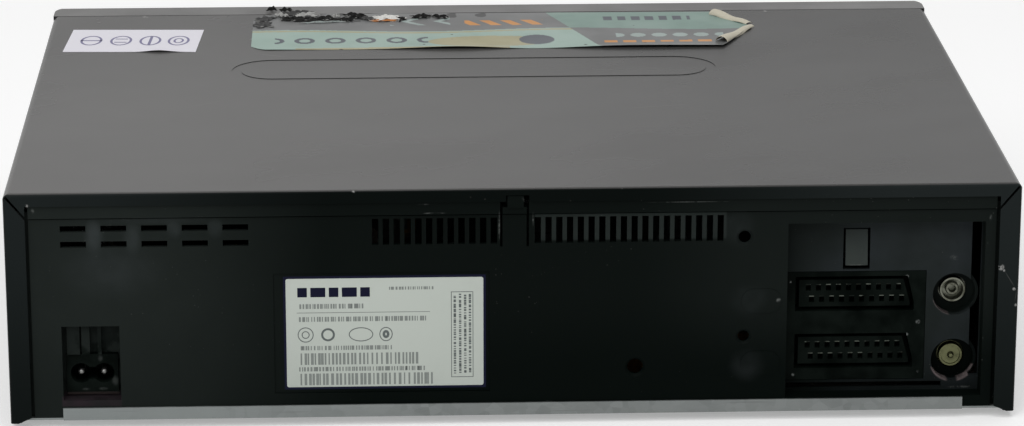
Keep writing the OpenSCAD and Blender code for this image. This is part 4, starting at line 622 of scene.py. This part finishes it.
def grid_faces(rows, cols, wrap=False):
    """Quads between neighbouring points of a grid, row by row; wrap joins the last column."""
    r = np.arange(rows - 1)[:, None]
    c = np.arange(cols if wrap else cols - 1)[None, :]
    d = (c + 1) % cols
    quads = np.stack(np.broadcast_arrays(r * cols + c, r * cols + d, (r + 1) * cols + d,
                                         (r + 1) * cols + c), -1)
    return quads.reshape(-1, 4)


def capped_tube(rows, cols):
    """Faces of a closed tube whose rows are rings, with one flat face at each end."""
    faces = [list(q) for q in grid_faces(rows, cols, True)]
    return faces + [list(range(cols)), list(range((rows - 1) * cols, rows * cols))]


def rounded_outline(w, h, r, n):
    """Points round a rectangle with corners of radius r: quarter circles joined by lines."""
    r = max(min(r, w / 2 - 1e-3, h / 2 - 1e-3), 1e-3)
    t = np.linspace(0, math.pi / 2, n)
    quarter = np.stack([np.cos(t), np.sin(t)], 1) * r
    turns = [np.array([[math.cos(a), -math.sin(a)], [math.sin(a), math.cos(a)]])
             for a in np.arange(4) * math.pi / 2]
    middles = np.array([[1, 1], [-1, 1], [-1, -1], [1, -1]]) * [w / 2 - r, h / 2 - r]
    return np.concatenate([quarter @ t.T + m for t, m in zip(turns, middles)])


def pressed_block(w, h, r, layers, n=6):
    """Closed stack of rounded rectangles: each layer is (inset, depth), capped at both ends."""
    rings = [np.column_stack([rounded_outline(w - 2 * i, h - 2 * i, max(r - i, 0.05), n),
                              np.full(4 * n, d)]) for i, d in layers]
    return np.concatenate(rings), capped_tube(len(layers), 4 * n)


def turned(profile):
    """Closed lathe form: profile rows are (radius, depth), carried round the axis."""
    steps = 48
    profile = np.asarray(profile, float)
    t = np.linspace(0, 2 * math.pi, steps, endpoint=False)
    r, d = profile[:, :1], profile[:, 1:]
    verts = np.stack([r * np.cos(t), r * np.sin(t), np.broadcast_to(d, (len(profile), steps))],
                     -1).reshape(-1, 3)
    if abs(profile[0] - profile[-1]).max() < 1e-9:
        return verts, [list(q) for q in grid_faces(len(profile), steps, True)]
    return verts, capped_tube(len(profile), steps)


def to_rear(verts, x, y, z):
    """Local (across, up, out) to a face that looks along +Y; across grows towards -X."""
    v = np.asarray(verts, float)
    return np.column_stack([x - v[:, 0], y + v[:, 2], z + v[:, 1]])


def to_front(verts, x, y, z):
    """Local (across, up, out) to a face that looks along -Y."""
    v = np.asarray(verts, float)
    return np.column_stack([x + v[:, 0], y - v[:, 2], z + v[:, 1]])


def to_top(verts, x, y, z):
    """Local (across, up, out) to a face that looks along +Z."""
    v = np.asarray(verts, float)
    return np.column_stack([x + v[:, 0], y + v[:, 1], z + v[:, 2]])


def joined(parts):
    """One vertex and face list from several."""
    verts, faces, start = [], [], 0
    for v, f in parts:
        verts.append(np.asarray(v, float))
        faces += [[int(i) + start for i in q] for q in f]
        start += len(v)
    return np.concatenate(verts), faces


def bars(rects, lift, thick=INK_THICK):
    """Thin closed blocks for printed marks: rows of (x0, x1, y0, y1)."""
    parts = []
    for x0, x1, y0, y1 in rects:
        v, f = pressed_block(abs(x1 - x0), abs(y1 - y0), 0.05, [(0, lift), (0, lift + thick)], 2)
        parts.append((v + [(x0 + x1) / 2, (y0 + y1) / 2, 0], f))
    return joined(parts)


def ring(cx, cy, rx, ry, width, lift):
    """A flat printed ring or ellipse."""
    steps = 40
    t = np.linspace(0, 2 * math.pi, steps, endpoint=False)
    high = lift + INK_THICK
    rows = [(rx, ry, lift), (rx, ry, high), (rx - width, ry - width, high),
            (rx - width, ry - width, lift), (rx, ry, lift)]
    verts = np.concatenate([np.column_stack([cx + a * np.cos(t), cy + b * np.sin(t),
                                             np.full(steps, d)]) for a, b, d in rows])
    return verts, [list(q) for q in grid_faces(len(rows), steps, True)]


# Rating label: bare film with generic bars, rings and stripes in place of its print

LABEL_X0, LABEL_W, LABEL_Z0, LABEL_H = 11.7, 74.1, 15.1, 42.9
LABEL_Y = PANEL_Y - 0.5
LABEL_FACE = 0.15


def rating_label():
    """A film sheet with small round corners, pressed on the floor of its recess."""
    verts, faces = pressed_block(LABEL_W, LABEL_H, 0.8,
                                 [(0, 0.0), (0, 0.12), (0.06, LABEL_FACE)])
    middle = (LABEL_X0 + LABEL_W / 2, LABEL_Y, LABEL_Z0 + LABEL_H / 2)
    sheet = finish_mesh("rating_label_sheet", to_rear(verts, *middle), faces,
                        finishes["label_film"])
    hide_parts("rating_label")
    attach(sheet, "case")
    rng = np.random.default_rng(7)

    def run(start, end, steps, widths, count):
        """Both ends of small blocks of uneven width, in a run from start to end."""
        edges = np.cumsum(rng.uniform(*steps, count)) + start
        return [(a, a + w) for a, w in zip(edges, rng.uniform(*widths, count)) if a + w < end]

    def text_line(x0, x1, y, h):
        """A row of small blocks in place of a line of print."""
        return [(*ends, y, y + h) for ends in run(x0, x1, (0.5, 1.3), (0.3, 0.8), 200)]

    heading = [(x, x + w, 14.2, 17.9) for x, w in ((-32.7, 3.6), (-27.8, 5.6), (-20.9, 3.6),
                                                   (-16.0, 5.6), (-9.1, 3.6))]
    lines = (text_line(-33.0, -7.0, 9.6, 1.9) + text_line(-33.0, 16.8, 4.5, 1.9)
             + text_line(-33.0, 3.4, -6.8, 1.7) + text_line(-33.0, 15.4, -15.2, 1.7)
             + [(-33.0, 17.0, 7.9, 8.15)])
    stripes = []
    for y, x1 in ((-12.6, 12.9), (-20.7, 19.4)):
        stripes += [(*ends, y, y + 4.6) for ends in run(-33.6, x1, (1.0, 2.0), (0.45, 1.15), 100)]
    column = [(24.9, 25.15, -18.2, 15.8), (33.0, 33.25, -18.2, 15.8), (24.9, 33.25, -18.2, -17.95),
              (24.9, 33.25, 15.55, 15.8)]
    for x in (26.3, 28.3, 30.2, 32.0):
        column += [(x - 0.45, x + 0.45, *ends)
                   for ends in run(-17.4, 15.0, (0.5, 1.2), (0.3, 0.8), 60)]
    badges = [ring(x, -0.7, rx, ry, width, LABEL_FACE)
              for x, rx, ry, width in ((-29.8, 3.0, 3.0, 0.35), (-29.8, 1.5, 1.5, 0.35),
                                       (-21.4, 2.6, 2.6, 0.8), (-9.0, 4.6, 2.8, 0.35),
                                       (0.4, 2.5, 2.8, 0.35), (0.4, 1.3, 1.6, 1.0))]
    pale = lines + stripes + text_line(0.6, 19.0, 16.8, 1.2)
    for name, parts, ink in (
            ("label_heading_bars", [bars(heading, LABEL_FACE)], ink_dark),
            ("label_small_marks", [bars(column, LABEL_FACE)] + badges, ink_grey),
            ("label_pale_marks", [bars(pale, LABEL_FACE)], ink_pale)):
        verts, faces = joined(parts)
        marks = finish_mesh(name, to_rear(verts, *middle), faces, ink, smooth=False)
        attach(marks, "case")
    w, h, t = LABEL_W / 2 + 0.9, LABEL_H / 2 + 0.9, 0.9
    edge = [(-w, w, h - t, h), (-w, w, -h, -h + t), (-w, -w + t, -h + t, h - t),
            (w - t, w, -h + t, h - t)]
    verts, faces = bars(edge, 0.0, 0.05)
    border = finish_mesh("label_dark_border", to_rear(verts, *middle), faces, ink_dark,
                         smooth=False)
    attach(border, "case")


# Stickers on the top


def skins(across, along, low, high):
    """A closed sheet: upper and lower skins over the same grid, joined round the edge."""
    rows, cols = across.shape
    count = rows * cols
    verts = np.concatenate([np.stack([across, along, z], -1).reshape(-1, 3) for z in (high, low)])
    faces = [list(q) for q in grid_faces(rows, cols)]
    faces += [[i + count for i in q[::-1]] for q in faces]
    edge = np.concatenate([np.arange(cols - 1), np.arange(cols - 1, count - 1, cols),
                           count - 1 - np.arange(cols - 1), np.arange(count - cols, 0, -cols)])
    ahead = np.roll(edge, -1)
    faces += np.column_stack([edge, edge + count, ahead + count, ahead]).tolist()
    return verts, faces


def sheet_grid(name, across, along, height, material, colour=None, thick=0.1):
    """A thin sheet lying at a height, with the colours of its print as an attribute."""
    verts, faces = skins(across, along, height, height + thick)
    obj = finish_mesh(name, verts, faces, material)
    if colour is not None:
        layer = obj.data.color_attributes.new("print", "FLOAT_COLOR", "POINT")
        rgba = np.concatenate([colour.reshape(-1, 4)] * 2)
        layer.data.foreach_set("color", rgba.astype(np.float32).ravel())
    return obj


STOCK_LABEL_X = 152.85
STOCK_LABEL_Y = -82.3


def stock_label():
    """A blank white sticker, its far edge wavy, with four ringed pen marks that spell nothing."""
    u = np.linspace(-1, 1, 60)[:, None]
    v = np.linspace(-1, 1, 40)[None, :]
    half_width, half_depth = 27.9, 18.5
    lean_x, lean_y = 1.1, -1.05
    across = STOCK_LABEL_X + half_width * u + lean_x * v
    along = STOCK_LABEL_Y + lean_y * u + half_depth * v
    lift = 0.9 * np.clip(v - 0.72, 0, 1) * np.exp(-((u + 0.45) / 0.22) ** 2) * 3.0
    sheet = sheet_grid("stock_label_sheet", across, along, TOP_Z + 0.01 + lift,
                       finishes["white_paper"])
    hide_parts("stock_label")
    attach(sheet, "case")
    stroke = 0.14
    parts = [ring(x, 0.0, 4.6, 7.8, 1.0, stroke) for x in (-18.6, -6.6, 5.8, 18.4)]
    parts += [ring(-18.6, 0.0, 2.2, 3.9, 0.9, stroke),
              bars([(-7.2, -6.0, -7.0, 7.0), (13.9, 22.9, -0.6, 0.6), (3.2, 8.4, 2.2, 3.2),
                    (3.2, 8.4, -3.2, -2.2)], stroke)]
    verts, faces = joined(parts)
    verts[:, :2] += np.column_stack([0.06 * verts[:, 1], -0.0375 * verts[:, 0]])
    marks = finish_mesh("stock_label_marks",
                        to_top(verts, STOCK_LABEL_X - 0.35, STOCK_LABEL_Y, TOP_Z), faces,
                        ink_violet, smooth=False)
    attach(marks, "case")


def torn_sticker():
    """A printed sticker with a round left end and a pointed right end, wavy along its rear edge.

    Grid: u runs along the sticker and v across it. The print is worked out on the same grid."""
    left_x = 103.0
    length = 214.0
    u = np.linspace(0, 1, 620)[:, None]
    v = np.linspace(0, 1, 110)[None, :]
    x = left_x - length * u
    low = -126.4 + 3.4 * u + 9.5 * np.clip(1 - u / 0.05, 0, 1) ** 2 \
        + 1.2 * np.sin(u * 61.0) * np.exp(-((u - 0.14) / 0.1) ** 2) \
        + 27.0 * np.clip((u - 0.955) / 0.045, 0, 1) ** 1.1
    high = -64.6 + 2.0 * u - 6.0 * np.clip(1 - u / 0.035, 0, 1) ** 2 \
        - 34.0 * np.clip((u - 0.93) / 0.07, 0, 1) ** 1.1
    high = np.maximum(high, low + 0.8)
    along = low + (high - low) * v
    across = x + 0 * v
    wave = 0.5 + 0.5 * np.sin(across / 17.0 + 1.1 * np.sin(across / 31.0))
    lift = 1.1 * wave * np.clip((v - 0.9) / 0.1, 0, 1) ** 1.6 * np.clip(u / 0.04, 0, 1)
    height = TOP_Z + 0.02 + lift
    teal = srgb(147, 170, 160)
    teal_dim = srgb(116, 141, 132)
    grey = srgb(100, 101, 101)
    cream = srgb(158, 152, 118)
    orange = srgb(196, 132, 58)
    slate = srgb(58, 64, 74)
    pale = srgb(150, 164, 160)
    colour = np.broadcast_to(grey, across.shape + (4,)).copy()

    def fill(mask, value):
        colour[mask] = value

    def within(value, low_end, high_end):
        return (value > low_end) & (value < high_end)

    # two tones parted by a slow wave, swapped over at the right
    split = -95.5 + 2.2 * np.sin(across / 19.0)
    right = across + 0.35 * (along + 95.0) < -34.0
    fill((along > split) & ~right, teal)
    fill((along <= split) & right, teal_dim)
    fill(within(along, split + 1.2, split + 3.2) & ~right, cream)
    fill((np.hypot((across - 2.0) / 26.0, (along + 76.0) / 9.0) < 1.0) & ~right, cream)
    fill(np.hypot((across + 18.0) / 7.5, (along + 78.0) / 8.0) < 1.0, slate)
    discs = np.hypot((across + 4.0) % 13.0 - 6.5, (along + 79.0) * 0.9)
    fill(within(discs, 2.4, 4.4) & within(across, 28.0, 93.0), slate)
    slants = (np.abs(along + 107.5) < 4.2) & ((across + 0.6 * along + 300.0) % 9.0 < 4.6)
    fill(slants & within(across, -22.0, 12.0), orange)
    chevrons = (across + 1.1 * np.abs(along + 111.0) + 300.0) % 14.0 < 3.4
    fill(chevrons & within(across, 18.0, 44.0) & (np.abs(along + 111.0) < 7.0), pale)
    stripes = (across + 400.0) % 6.0 < 3.6
    fill(stripes & within(across, -86.0, -48.0) & (np.abs(along + 113.0) < 3.4), slate)
    dots = np.hypot((across + 300.0) % 9.0 - 4.5, along + 84.0) < 3.2
    fill(dots & (np.abs(along + 84.0) < 3.6) & within(across, -98.0, -52.0), pale)
    dashes = (np.abs(along + 73.5) < 1.6) & ((across + 300.0) % 8.0 < 5.6)
    fill(dashes & within(across, -92.0, -46.0), orange)
    rear_edge = (along > high - 3.2) & (along > -68.0 + 0.02 * across)
    fill(rear_edge & within(across, -6.0, 84.0), cream)
    rng = np.random.default_rng(3)
    rough = np.zeros(across.shape)
    waves = 26
    for _ in range(waves):
        ax, ay, p, q = rng.uniform(0.1, 1.1), rng.uniform(0.1, 1.1), *rng.uniform(0, 6.28, 2)
        rough += np.sin(across * ax + p) * np.sin(along * ay + q)
    rough /= waves ** 0.5
    torn = np.exp(-((across - 68.0) / 20.0) ** 2 - ((along + 118.0) / 8.5) ** 2)
    fill(rough + 2.0 * torn > 1.6, srgb(18, 18, 18))
    fill((rough + 1.6 * torn > 2.0) & (np.sin(across * 2.1) > 0.4), srgb(190, 190, 186))
    fill(np.hypot((across - 42.0) / 4.5, (along + 116.0) / 6.0) + 0.25 * rough < 0.8,
         srgb(222, 220, 214))
    for cx, cy in ((17.0, -121.0), (4.5, -121.5)):
        fill(np.hypot((across - cx) / 3.2, (along - cy) / 5.0) + 0.3 * rough < 0.8,
             srgb(26, 26, 26))
    sheet = sheet_grid("torn_sticker_sheet", across, along, height,
                       finishes["sticker_paper"], colour, 0.09)
    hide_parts("torn_sticker")
    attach(sheet, "case")


def torn_scraps():
    """Crumpled scraps of torn film: small ragged sheets folded into sharp waves.

    Each row: middle, length, width and height in millimetres, turn in degrees, and tone."""
    black = srgb(14, 14, 14)
    white = srgb(218, 217, 213)
    pale = srgb(172, 172, 170)
    grey = srgb(70, 70, 70)
    rust = srgb(176, 116, 70)
    dull_teal = srgb(150, 158, 156)
    rows = ((95.4, -131.0, 4.0, 2.6, 2.3, 20, black), (89.2, -129.5, 5.0, 3.0, 2.3, -15, black),
            (98.5, -116.0, 9.0, 6.0, 1.2, 60, grey), (99.0, -106.5, 8.0, 7.0, 1.0, 100, grey),
            (86.0, -115.5, 9.0, 4.5, 1.6, 10, black), (78.5, -113.5, 12.0, 5.0, 1.5, -8, black),
            (79.6, -120.5, 10.0, 3.0, 2.3, 4, pale), (72.0, -115.5, 8.0, 4.5, 1.8, 18, black),
            (91.0, -121.0, 5.0, 2.2, 2.0, -25, pale), (84.0, -124.0, 14.0, 3.0, 2.2, 12, grey),
            (67.5, -118.5, 4.0, 2.0, 1.8, 30, pale), (63.5, -113.5, 7.0, 4.0, 1.4, -20, black),
            (57.9, -117.5, 8.0, 3.5, 1.9, 15, black), (53.5, -114.5, 6.0, 3.0, 1.5, -30, grey),
            (60.0, -121.5, 9.0, 2.5, 1.6, -6, black), (46.0, -114.5, 10.0, 5.5, 2.2, 8, white),
            (46.5, -111.6, 10.0, 2.0, 0.9, 4, rust), (39.6, -114.0, 5.0, 4.0, 1.2, 50, black),
            (30.1, -118.0, 7.5, 5.0, 1.6, 12, black), (22.3, -117.0, 7.0, 3.6, 1.5, -28, black),
            (73.0, -110.0, 16.0, 1.2, 0.8, 6, dull_teal))
    film = printed_finish("torn_film", 0.6, 0.12)
    u = np.linspace(-1, 1, 26)[:, None]
    v = np.linspace(-1, 1, 18)[None, :]
    for k, (cx, cy, length, width, tall, turn, tone) in enumerate(rows):
        angle = np.arctan2(v, u)
        ragged = 1 + 0.18 * np.sin(5 * angle + k) + 0.12 * np.sin(9 * angle + 2.3 * k)
        x = length / 2 * u * ragged + 0.4 * np.sin(4.0 * v + k)
        y = width / 2 * v * ragged + 0.3 * np.sin(5.0 * u + 1.7 * k)
        fold = 0.6 * np.abs(np.sin(3.1 * u + 1.9 * v + k))
        fold = fold + 0.4 * np.abs(np.sin(2.3 * v - 4.7 * u + 2 * k))
        arch = np.clip(1 - 0.75 * np.hypot(u, v) ** 2, 0.0, 1)
        lift = tall * (0.25 * fold + 0.75 * fold * arch + 0.1)
        c, s = math.cos(math.radians(turn)), math.sin(math.radians(turn))
        torn_edge = (np.maximum(np.abs(u), np.abs(v)) > 0.9) & (np.sin(7.0 * angle + k) > 0.55)
        shade = np.where(torn_edge[..., None], srgb(150, 150, 147), tone)
        sheet = sheet_grid("torn_scrap_%02d" % k, cx + c * x - s * y, cy + s * x + c * y,
                           TOP_Z + 0.1 + lift, film, shade, 0.08)
        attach(sheet, "case")


def peeled_flaps():
    """Two curled ends of the sticker, folded back so that their pale rear side shows."""
    parts = []
    for root, tip, w0, w1, curl in (
            ((-110.5, -101.0), (-97.0, -119.5), 3.5, 7.0, 1.9),
            ((-111.0, -97.0), (-96.0, -71.0), 3.0, 6.5, 2.1)):
        a, b = np.array(root), np.array(tip)
        d = b - a
        side = np.array([-d[1], d[0]]) / np.linalg.norm(d)
        u = np.linspace(0, 1, 24)[:, None]
        v = np.linspace(-1, 1, 16)[None, :]
        film = 0.12
        width = w0 + (w1 - w0) * u
        bend = v * (1 - 0.15 * u)
        x = a[0] + d[0] * u + side[0] * bend * width / 2
        y = a[1] + d[1] * u + side[1] * bend * width / 2
        z = TOP_Z + 0.25 + curl * (1 - v ** 2) ** 0.6 * (0.35 + 0.65 * u) + 0.3 * np.sin(u * 9.0)
        parts.append(skins(x, y, z - film, z))
    verts, faces = joined(parts)
    flap_paper = paper_finish("sticker_back_paper", srgb(196, 190, 172), 0.55, 0.3)
    flaps = finish_mesh("peeled_sticker_flaps", verts, faces, flap_paper)
    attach(flaps, "case")


# Display window


def display_segments():
    """Unlit segments of a clock and a row of level bars, faint behind the smoked window."""
    thick = 0.75
    rects = []
    for x in (-38.0, -29.0, -17.0, -8.0):
        rects += [(x + 1.0, x + 5.0, z, z + thick) for z in (-5.0, -0.4, 4.2)]
        rects += [(a, a + thick, z, z + 3.4) for a in (x, x + 5.25) for z in (-4.1, 0.5)]
    rects += [(-20.4, -19.6, z, z + 0.8) for z in (-2.4, 1.6)]
    rects += [(6.0 + 2.4 * k, 7.8 + 2.4 * k, z, z + 2.2) for k in range(16) for z in (-4.0, 0.6)]
    verts, faces = bars(rects, 0.0)
    dim = paper_finish("unlit_segments", srgb(36, 43, 42), 0.2, 0.2, 0.15)
    marks = finish_mesh("display_segments", to_front(verts, -13.0, FRONT_Y + 2.5, 35.0), faces, dim,
                        smooth=False)
    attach(marks, "case")


# Aerial sockets


def aerial_sockets():
    """Turned metal shells: a hollow one with a centre tube, and a plug with a centre pin."""
    tip, back = 127.0, 122.5
    shell = turned([(5.0, back - tip), (5.0, -0.5), (4.75, 0.0), (4.1, 0.0), (3.95, -0.4),
                    (3.95, -4.2), (3.95, back - tip), (5.0, back - tip)])
    flange = turned([(5.0, -4.4), (6.2, -4.4), (6.2, -3.2), (5.9, -2.9), (5.0, -2.9),
                     (5.0, -4.4)])
    ring_core = turned([(2.6, -4.4), (2.6, -1.3), (2.3, -1.0), (1.5, -1.0), (1.3, -1.3),
                        (1.3, -4.4), (2.6, -4.4)])
    floor = turned([(3.98, -4.4), (3.98, -3.6), (0.01, -3.6)])
    incoming = joined([shell, flange, ring_core, floor])
    plug = turned([(4.6, back - tip), (4.6, -0.3), (4.4, 0.0), (3.7, 0.0), (3.55, -0.5),
                   (1.4, -0.7), (1.2, -0.6), (1.15, 0.6), (0.7, 1.1), (0.01, 1.2)])
    collar = turned([(4.6, -4.4), (5.9, -4.4), (5.9, -3.4), (4.6, -3.0), (4.6, -4.4)])
    outgoing = joined([plug, collar])
    verts, faces = joined([(to_rear(incoming[0], WELL_X, tip, UPPER_WELL_Z), incoming[1]),
                           (to_rear(outgoing[0], WELL_X, tip, LOWER_WELL_Z), outgoing[1])])
    sockets = finish_mesh("aerial_socket_shells", verts, faces, finishes["socket_metal"])
    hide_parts("aerial_sockets")
    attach(sockets, "case")


# Screws


def screw_head(radius, height, shank):
    """A pan head with a cross recess: height falls with radius, and drops in the cross."""
    rows, cols = 14, 48
    rim_fall = 0.35 * height
    cross_depth = 0.75 * height
    cross_half_width = 0.42
    cross_reach = 0.62 * radius
    s = np.linspace(0.02, 1, rows)[:, None]
    t = np.linspace(0, 2 * math.pi, cols, endpoint=False)[None, :]
    r = radius * s
    x, y = r * np.cos(t), r * np.sin(t)
    dome = height - rim_fall * s ** 4
    arm = np.minimum(np.abs(x), np.abs(y))
    reach = np.maximum(np.abs(x), np.abs(y))
    inside_bars = np.clip((cross_half_width - arm) / 0.16, 0, 1)
    cut = inside_bars * np.clip((cross_reach - reach) / 0.3, 0, 1)
    z = dome - cross_depth * cut
    skin = np.stack([x, y, z], -1).reshape(-1, 3)
    circle = np.column_stack([np.cos(t[0]), np.sin(t[0]), np.zeros(cols)])
    shank_radius = 1.5
    neck = shank_radius * circle
    verts = np.concatenate([skin, radius * circle, neck, neck - [0, 0, shank]])
    return verts, capped_tube(rows + 3, cols)


def screws():
    """Every screw of the case, the deck and the boards, each standing where its hole is."""
    parts = []

    def put(at, axis, radius, height, shank, turn):
        verts, faces = screw_head(radius, height, shank)
        c, s = math.cos(turn), math.sin(turn)
        v = verts @ np.array([[c, s, 0], [-s, c, 0], [0, 0, 1]])
        if axis[0]:
            v = np.column_stack([v[:, 2] * axis[0], v[:, 0], v[:, 1]])
        elif axis[2] < 0:
            v = v * [1, 1, -1]
        parts.append((v + np.array(at), faces))

    rails = (-106.0, -6.5, 93.0)
    cover_z, deck_z, board_z, base_z = 16.2, 37.4, 12.9, 3.4
    up = (0, 0, 1)
    down = (0, 0, -1)
    spots = [((s * (HALF_W - COVER_T), y, cover_z), (s, 0, 0), 3.4, 0.8, 5.0, 0.3)
             for s in (-1, 1) for y in (FRONT_Y + 60, REAR_Y - 60)]
    spots += [((DECK_X + 100 * s, y, deck_z), up, 3.0, 1.6, 7.0, 0.7)
              for s in (-1, 1) for y in (rails[0], rails[2])]
    spots += [((x, y, board_z), up, 3.0, 1.6, 4.0, 0.2)
              for x in (-169.0, DECK_X - 40, DECK_X + 50, 108.0, 173.0) for y in rails[1:]]
    spots += [((x, y, base_z), down, 3.0, 1.6, 2.8, 0.5)
              for x in (-120.0, 120.0) for y in rails]
    for k, (*spot, turn) in enumerate(spots):
        put(*spot, turn + k)
    verts, faces = joined(parts)
    dark_steel = metal_finish("blackened_steel", srgb(84, 84, 83), 0.34)
    heads = finish_mesh("cross_head_screws", verts, faces, dark_steel)
    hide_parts("screws")
    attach(heads, "case")


# Keys on the front

KEY_WALL_BACK_Y = FRONT_Y + 4.5
KEY_TRAVEL = 1.2
SWITCH_Y = FRONT_Y + 9.0


def triangle(cx, cy, w, h, lift):
    """A flat printed triangle that points towards +across."""
    thick = 0.06
    pts = np.array([[cx - w / 2, cy - h / 2], [cx + w / 2, cy], [cx - w / 2, cy + h / 2]])
    verts = np.concatenate([np.column_stack([pts, np.full(3, lift)]),
                            np.column_stack([pts, np.full(3, lift + thick)])])
    return verts, [[0, 1, 2], [3, 4, 5], [0, 1, 4, 3], [1, 2, 5, 4], [2, 0, 3, 5]]


def backwards(mark):
    """The same mark pointing the other way."""
    verts, faces = mark
    return verts * [-1, 1, 1], faces


def upwards(mark):
    """The same mark turned to point upwards."""
    verts, faces = mark
    return verts[:, [1, 0, 2]], faces


def keys():
    """Cushioned key caps: a rounded block whose face swells slightly, with a plain mark.

    Each row of the table: across and up of the middle, width, height and corner radius."""
    face_y = FRONT_Y + 0.4
    depth = KEY_WALL_BACK_Y - face_y
    stem_end = SWITCH_Y - KEY_TRAVEL - 0.2 - face_y
    table = {
        "standby": (-166.0, 40.0, 13.0, 13.0, 6.45), "channel_down": (-128.0, 40.0, 16.0, 8.0, 1.2),
        "channel_up": (-106.0, 40.0, 16.0, 8.0, 1.2), "rewind": (84.0, 44.0, 16.0, 9.0, 1.2),
        "play": (106.0, 44.0, 22.0, 9.0, 1.2), "fast_forward": (128.0, 44.0, 16.0, 9.0, 1.2),
        "record": (152.0, 44.0, 12.0, 9.0, 1.2), "eject": (106.0, 27.0, 40.0, 9.0, 1.2)}
    face = 0.02
    marks = {
        "standby": [ring(0, 0, 2.6, 2.6, 0.5, face), bars([(-0.3, 0.3, 0.6, 3.6)], face)],
        "channel_down": [bars([(-2.0, 2.0, -0.3, 0.3)], face)],
        "channel_up": [bars([(-2.0, 2.0, -0.3, 0.3), (-0.3, 0.3, 0.3, 2.0),
                             (-0.3, 0.3, -2.0, -0.3)], face)],
        "rewind": [backwards(triangle(x, 0, 2.6, 3.0, face)) for x in (-1.3, 1.5)],
        "play": [triangle(0, 0, 3.4, 3.8, face)],
        "fast_forward": [triangle(x, 0, 2.6, 3.0, face) for x in (-1.3, 1.5)],
        "record": [ring(0, 0, 1.7, 1.7, 1.6, face)],
        "eject": [bars([(-2.4, 2.4, -2.2, -1.5)], face),
                  upwards(triangle(0.7, 0, 2.6, 4.8, face))]}
    for body, (x, z, w, h, r) in table.items():
        n = 12 if body == "standby" else 6
        layers = [(0.0, -depth - 0.1), (0.0, -0.9), (0.12, -0.45), (0.4, -0.15), (0.9, -0.03),
                  (min(w, h) * 0.3, 0.0)]
        cap = pressed_block(w, h, r, layers, n)
        flange = pressed_block(w + 2, h + 2, 1.0, [(0, -depth - 1.1), (0, -depth - 0.1)], 4)
        stem = pressed_block(3.0, 3.0, 0.3, [(0, -stem_end), (0, -depth - 1.05)], 3)
        verts, faces = joined([cap, flange, stem])
        key = finish_mesh(body + "_key_cap", to_front(verts, x, face_y, z), faces,
                          finishes["key_plastic"])
        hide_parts(body + "_key")
        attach(key, body)
        verts, faces = joined(marks[body])
        mark = finish_mesh(body + "_key_mark", to_front(verts, x, face_y, z), faces, mark_white,
                           smooth=False)
        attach(mark, body)


rating_label()
stock_label()
torn_sticker()
torn_scraps()
peeled_flaps()
display_segments()
aerial_sockets()
screws()
keys()


# Floor, backdrop and light


def plane(name, corners, material):
    mesh = bpy.data.meshes.new(name)
    mesh.from_pydata(corners, [], [[0, 1, 2, 3]])
    mesh.materials.append(material)
    obj = bpy.data.objects.new(name, mesh)
    bpy.context.scene.collection.objects.link(obj)


def seen_rays(tree):
    """1 for camera, glossy and transmission rays, 0 for the rays that light the object."""
    path = tree.nodes.new("ShaderNodeLightPath")
    seen = path.outputs["Is Camera Ray"]
    for name in ("Is Glossy Ray", "Is Transmission Ray"):
        either = tree.nodes.new("ShaderNodeMath")
        either.operation = "MAXIMUM"
        tree.links.new(seen, either.inputs[0])
        tree.links.new(path.outputs[name], either.inputs[1])
        seen = either.outputs[0]
    return seen


def floor_finish():
    """Matt white floor that takes a shadow and reads white to the camera."""
    f = Finish("studio_floor", (0.8, 0.8, 0.8, 1.0), 0.9)
    glow = f.add("ShaderNodeEmission", {"Color": (1, 1, 1, 1),
                                        "Strength": f.times(seen_rays(f.tree), FLOOR_GLOW)})
    both = f.add("ShaderNodeAddShader", {0: f.surface.outputs[0], 1: glow.outputs[0]})
    f.tree.links.new(both.outputs[0], f.output.inputs["Surface"])
    return f.material


FLOOR_HALF = 6
FLOOR_GLOW = 0.32
WORLD_LIGHT = 0.42
WORLD_SEEN = 1.0

plane("studio_floor", [(x * FLOOR_HALF, y * FLOOR_HALF, 0)
                       for x, y in ((-1, -1), (1, -1), (1, 1), (-1, 1))], floor_finish())

world = bpy.data.worlds.new("studio")
bpy.context.scene.world = world
world.use_nodes = True
tree = world.node_tree
tree.nodes.clear()
out = tree.nodes.new("ShaderNodeOutputWorld")
back = tree.nodes.new("ShaderNodeBackground")
level = tree.nodes.new("ShaderNodeMapRange")
level.inputs["To Min"].default_value = WORLD_LIGHT
level.inputs["To Max"].default_value = WORLD_SEEN
tree.links.new(seen_rays(tree), level.inputs["Value"])
tree.links.new(level.outputs[0], back.inputs["Strength"])
tree.links.new(back.outputs[0], out.inputs["Surface"])


def aimed(name, data, place, target):
    """A lamp or camera that stands at a place and looks at a target."""
    obj = bpy.data.objects.new(name, data)
    obj.location = place
    aim = Vector(target) - Vector(place)
    obj.rotation_euler = aim.to_track_quat("-Z", "Y").to_euler()
    bpy.context.scene.collection.objects.link(obj)
    return obj


def lamp(name, place, target, size, power):
    data = bpy.data.lights.new(name, "AREA")
    data.shape = "RECTANGLE"
    data.size, data.size_y = size
    data.energy = power
    aimed(name, data, place, target)


lamp("overhead_softbox", (0.0, 0.5, 2.2), (0.0, 0.0, 0.0), (2.4, 2.0), 26.0)
lamp("camera_side_fill", (1.2, 2.6, 2.2), (0.0, 0.1, 0.0), (1.8, 1.4), 26.0)

# The camera that was fitted to the photograph: focal length in millimetres, places in metres
CAMERA_LENS = 140.41
CAMERA_PLACE = (0.055636, 1.564081, 0.518829)
CAMERA_TARGET = (-0.00445, 0.0, 0.03999)

camera_data = bpy.data.cameras.new("photo_camera")
camera_data.lens = CAMERA_LENS
camera_data.sensor_width = 36.0
camera_data.clip_end = 50.0
bpy.context.scene.camera = aimed("photo_camera", camera_data, CAMERA_PLACE, CAMERA_TARGET)
bpy.context.scene.view_settings.view_transform = "Standard"
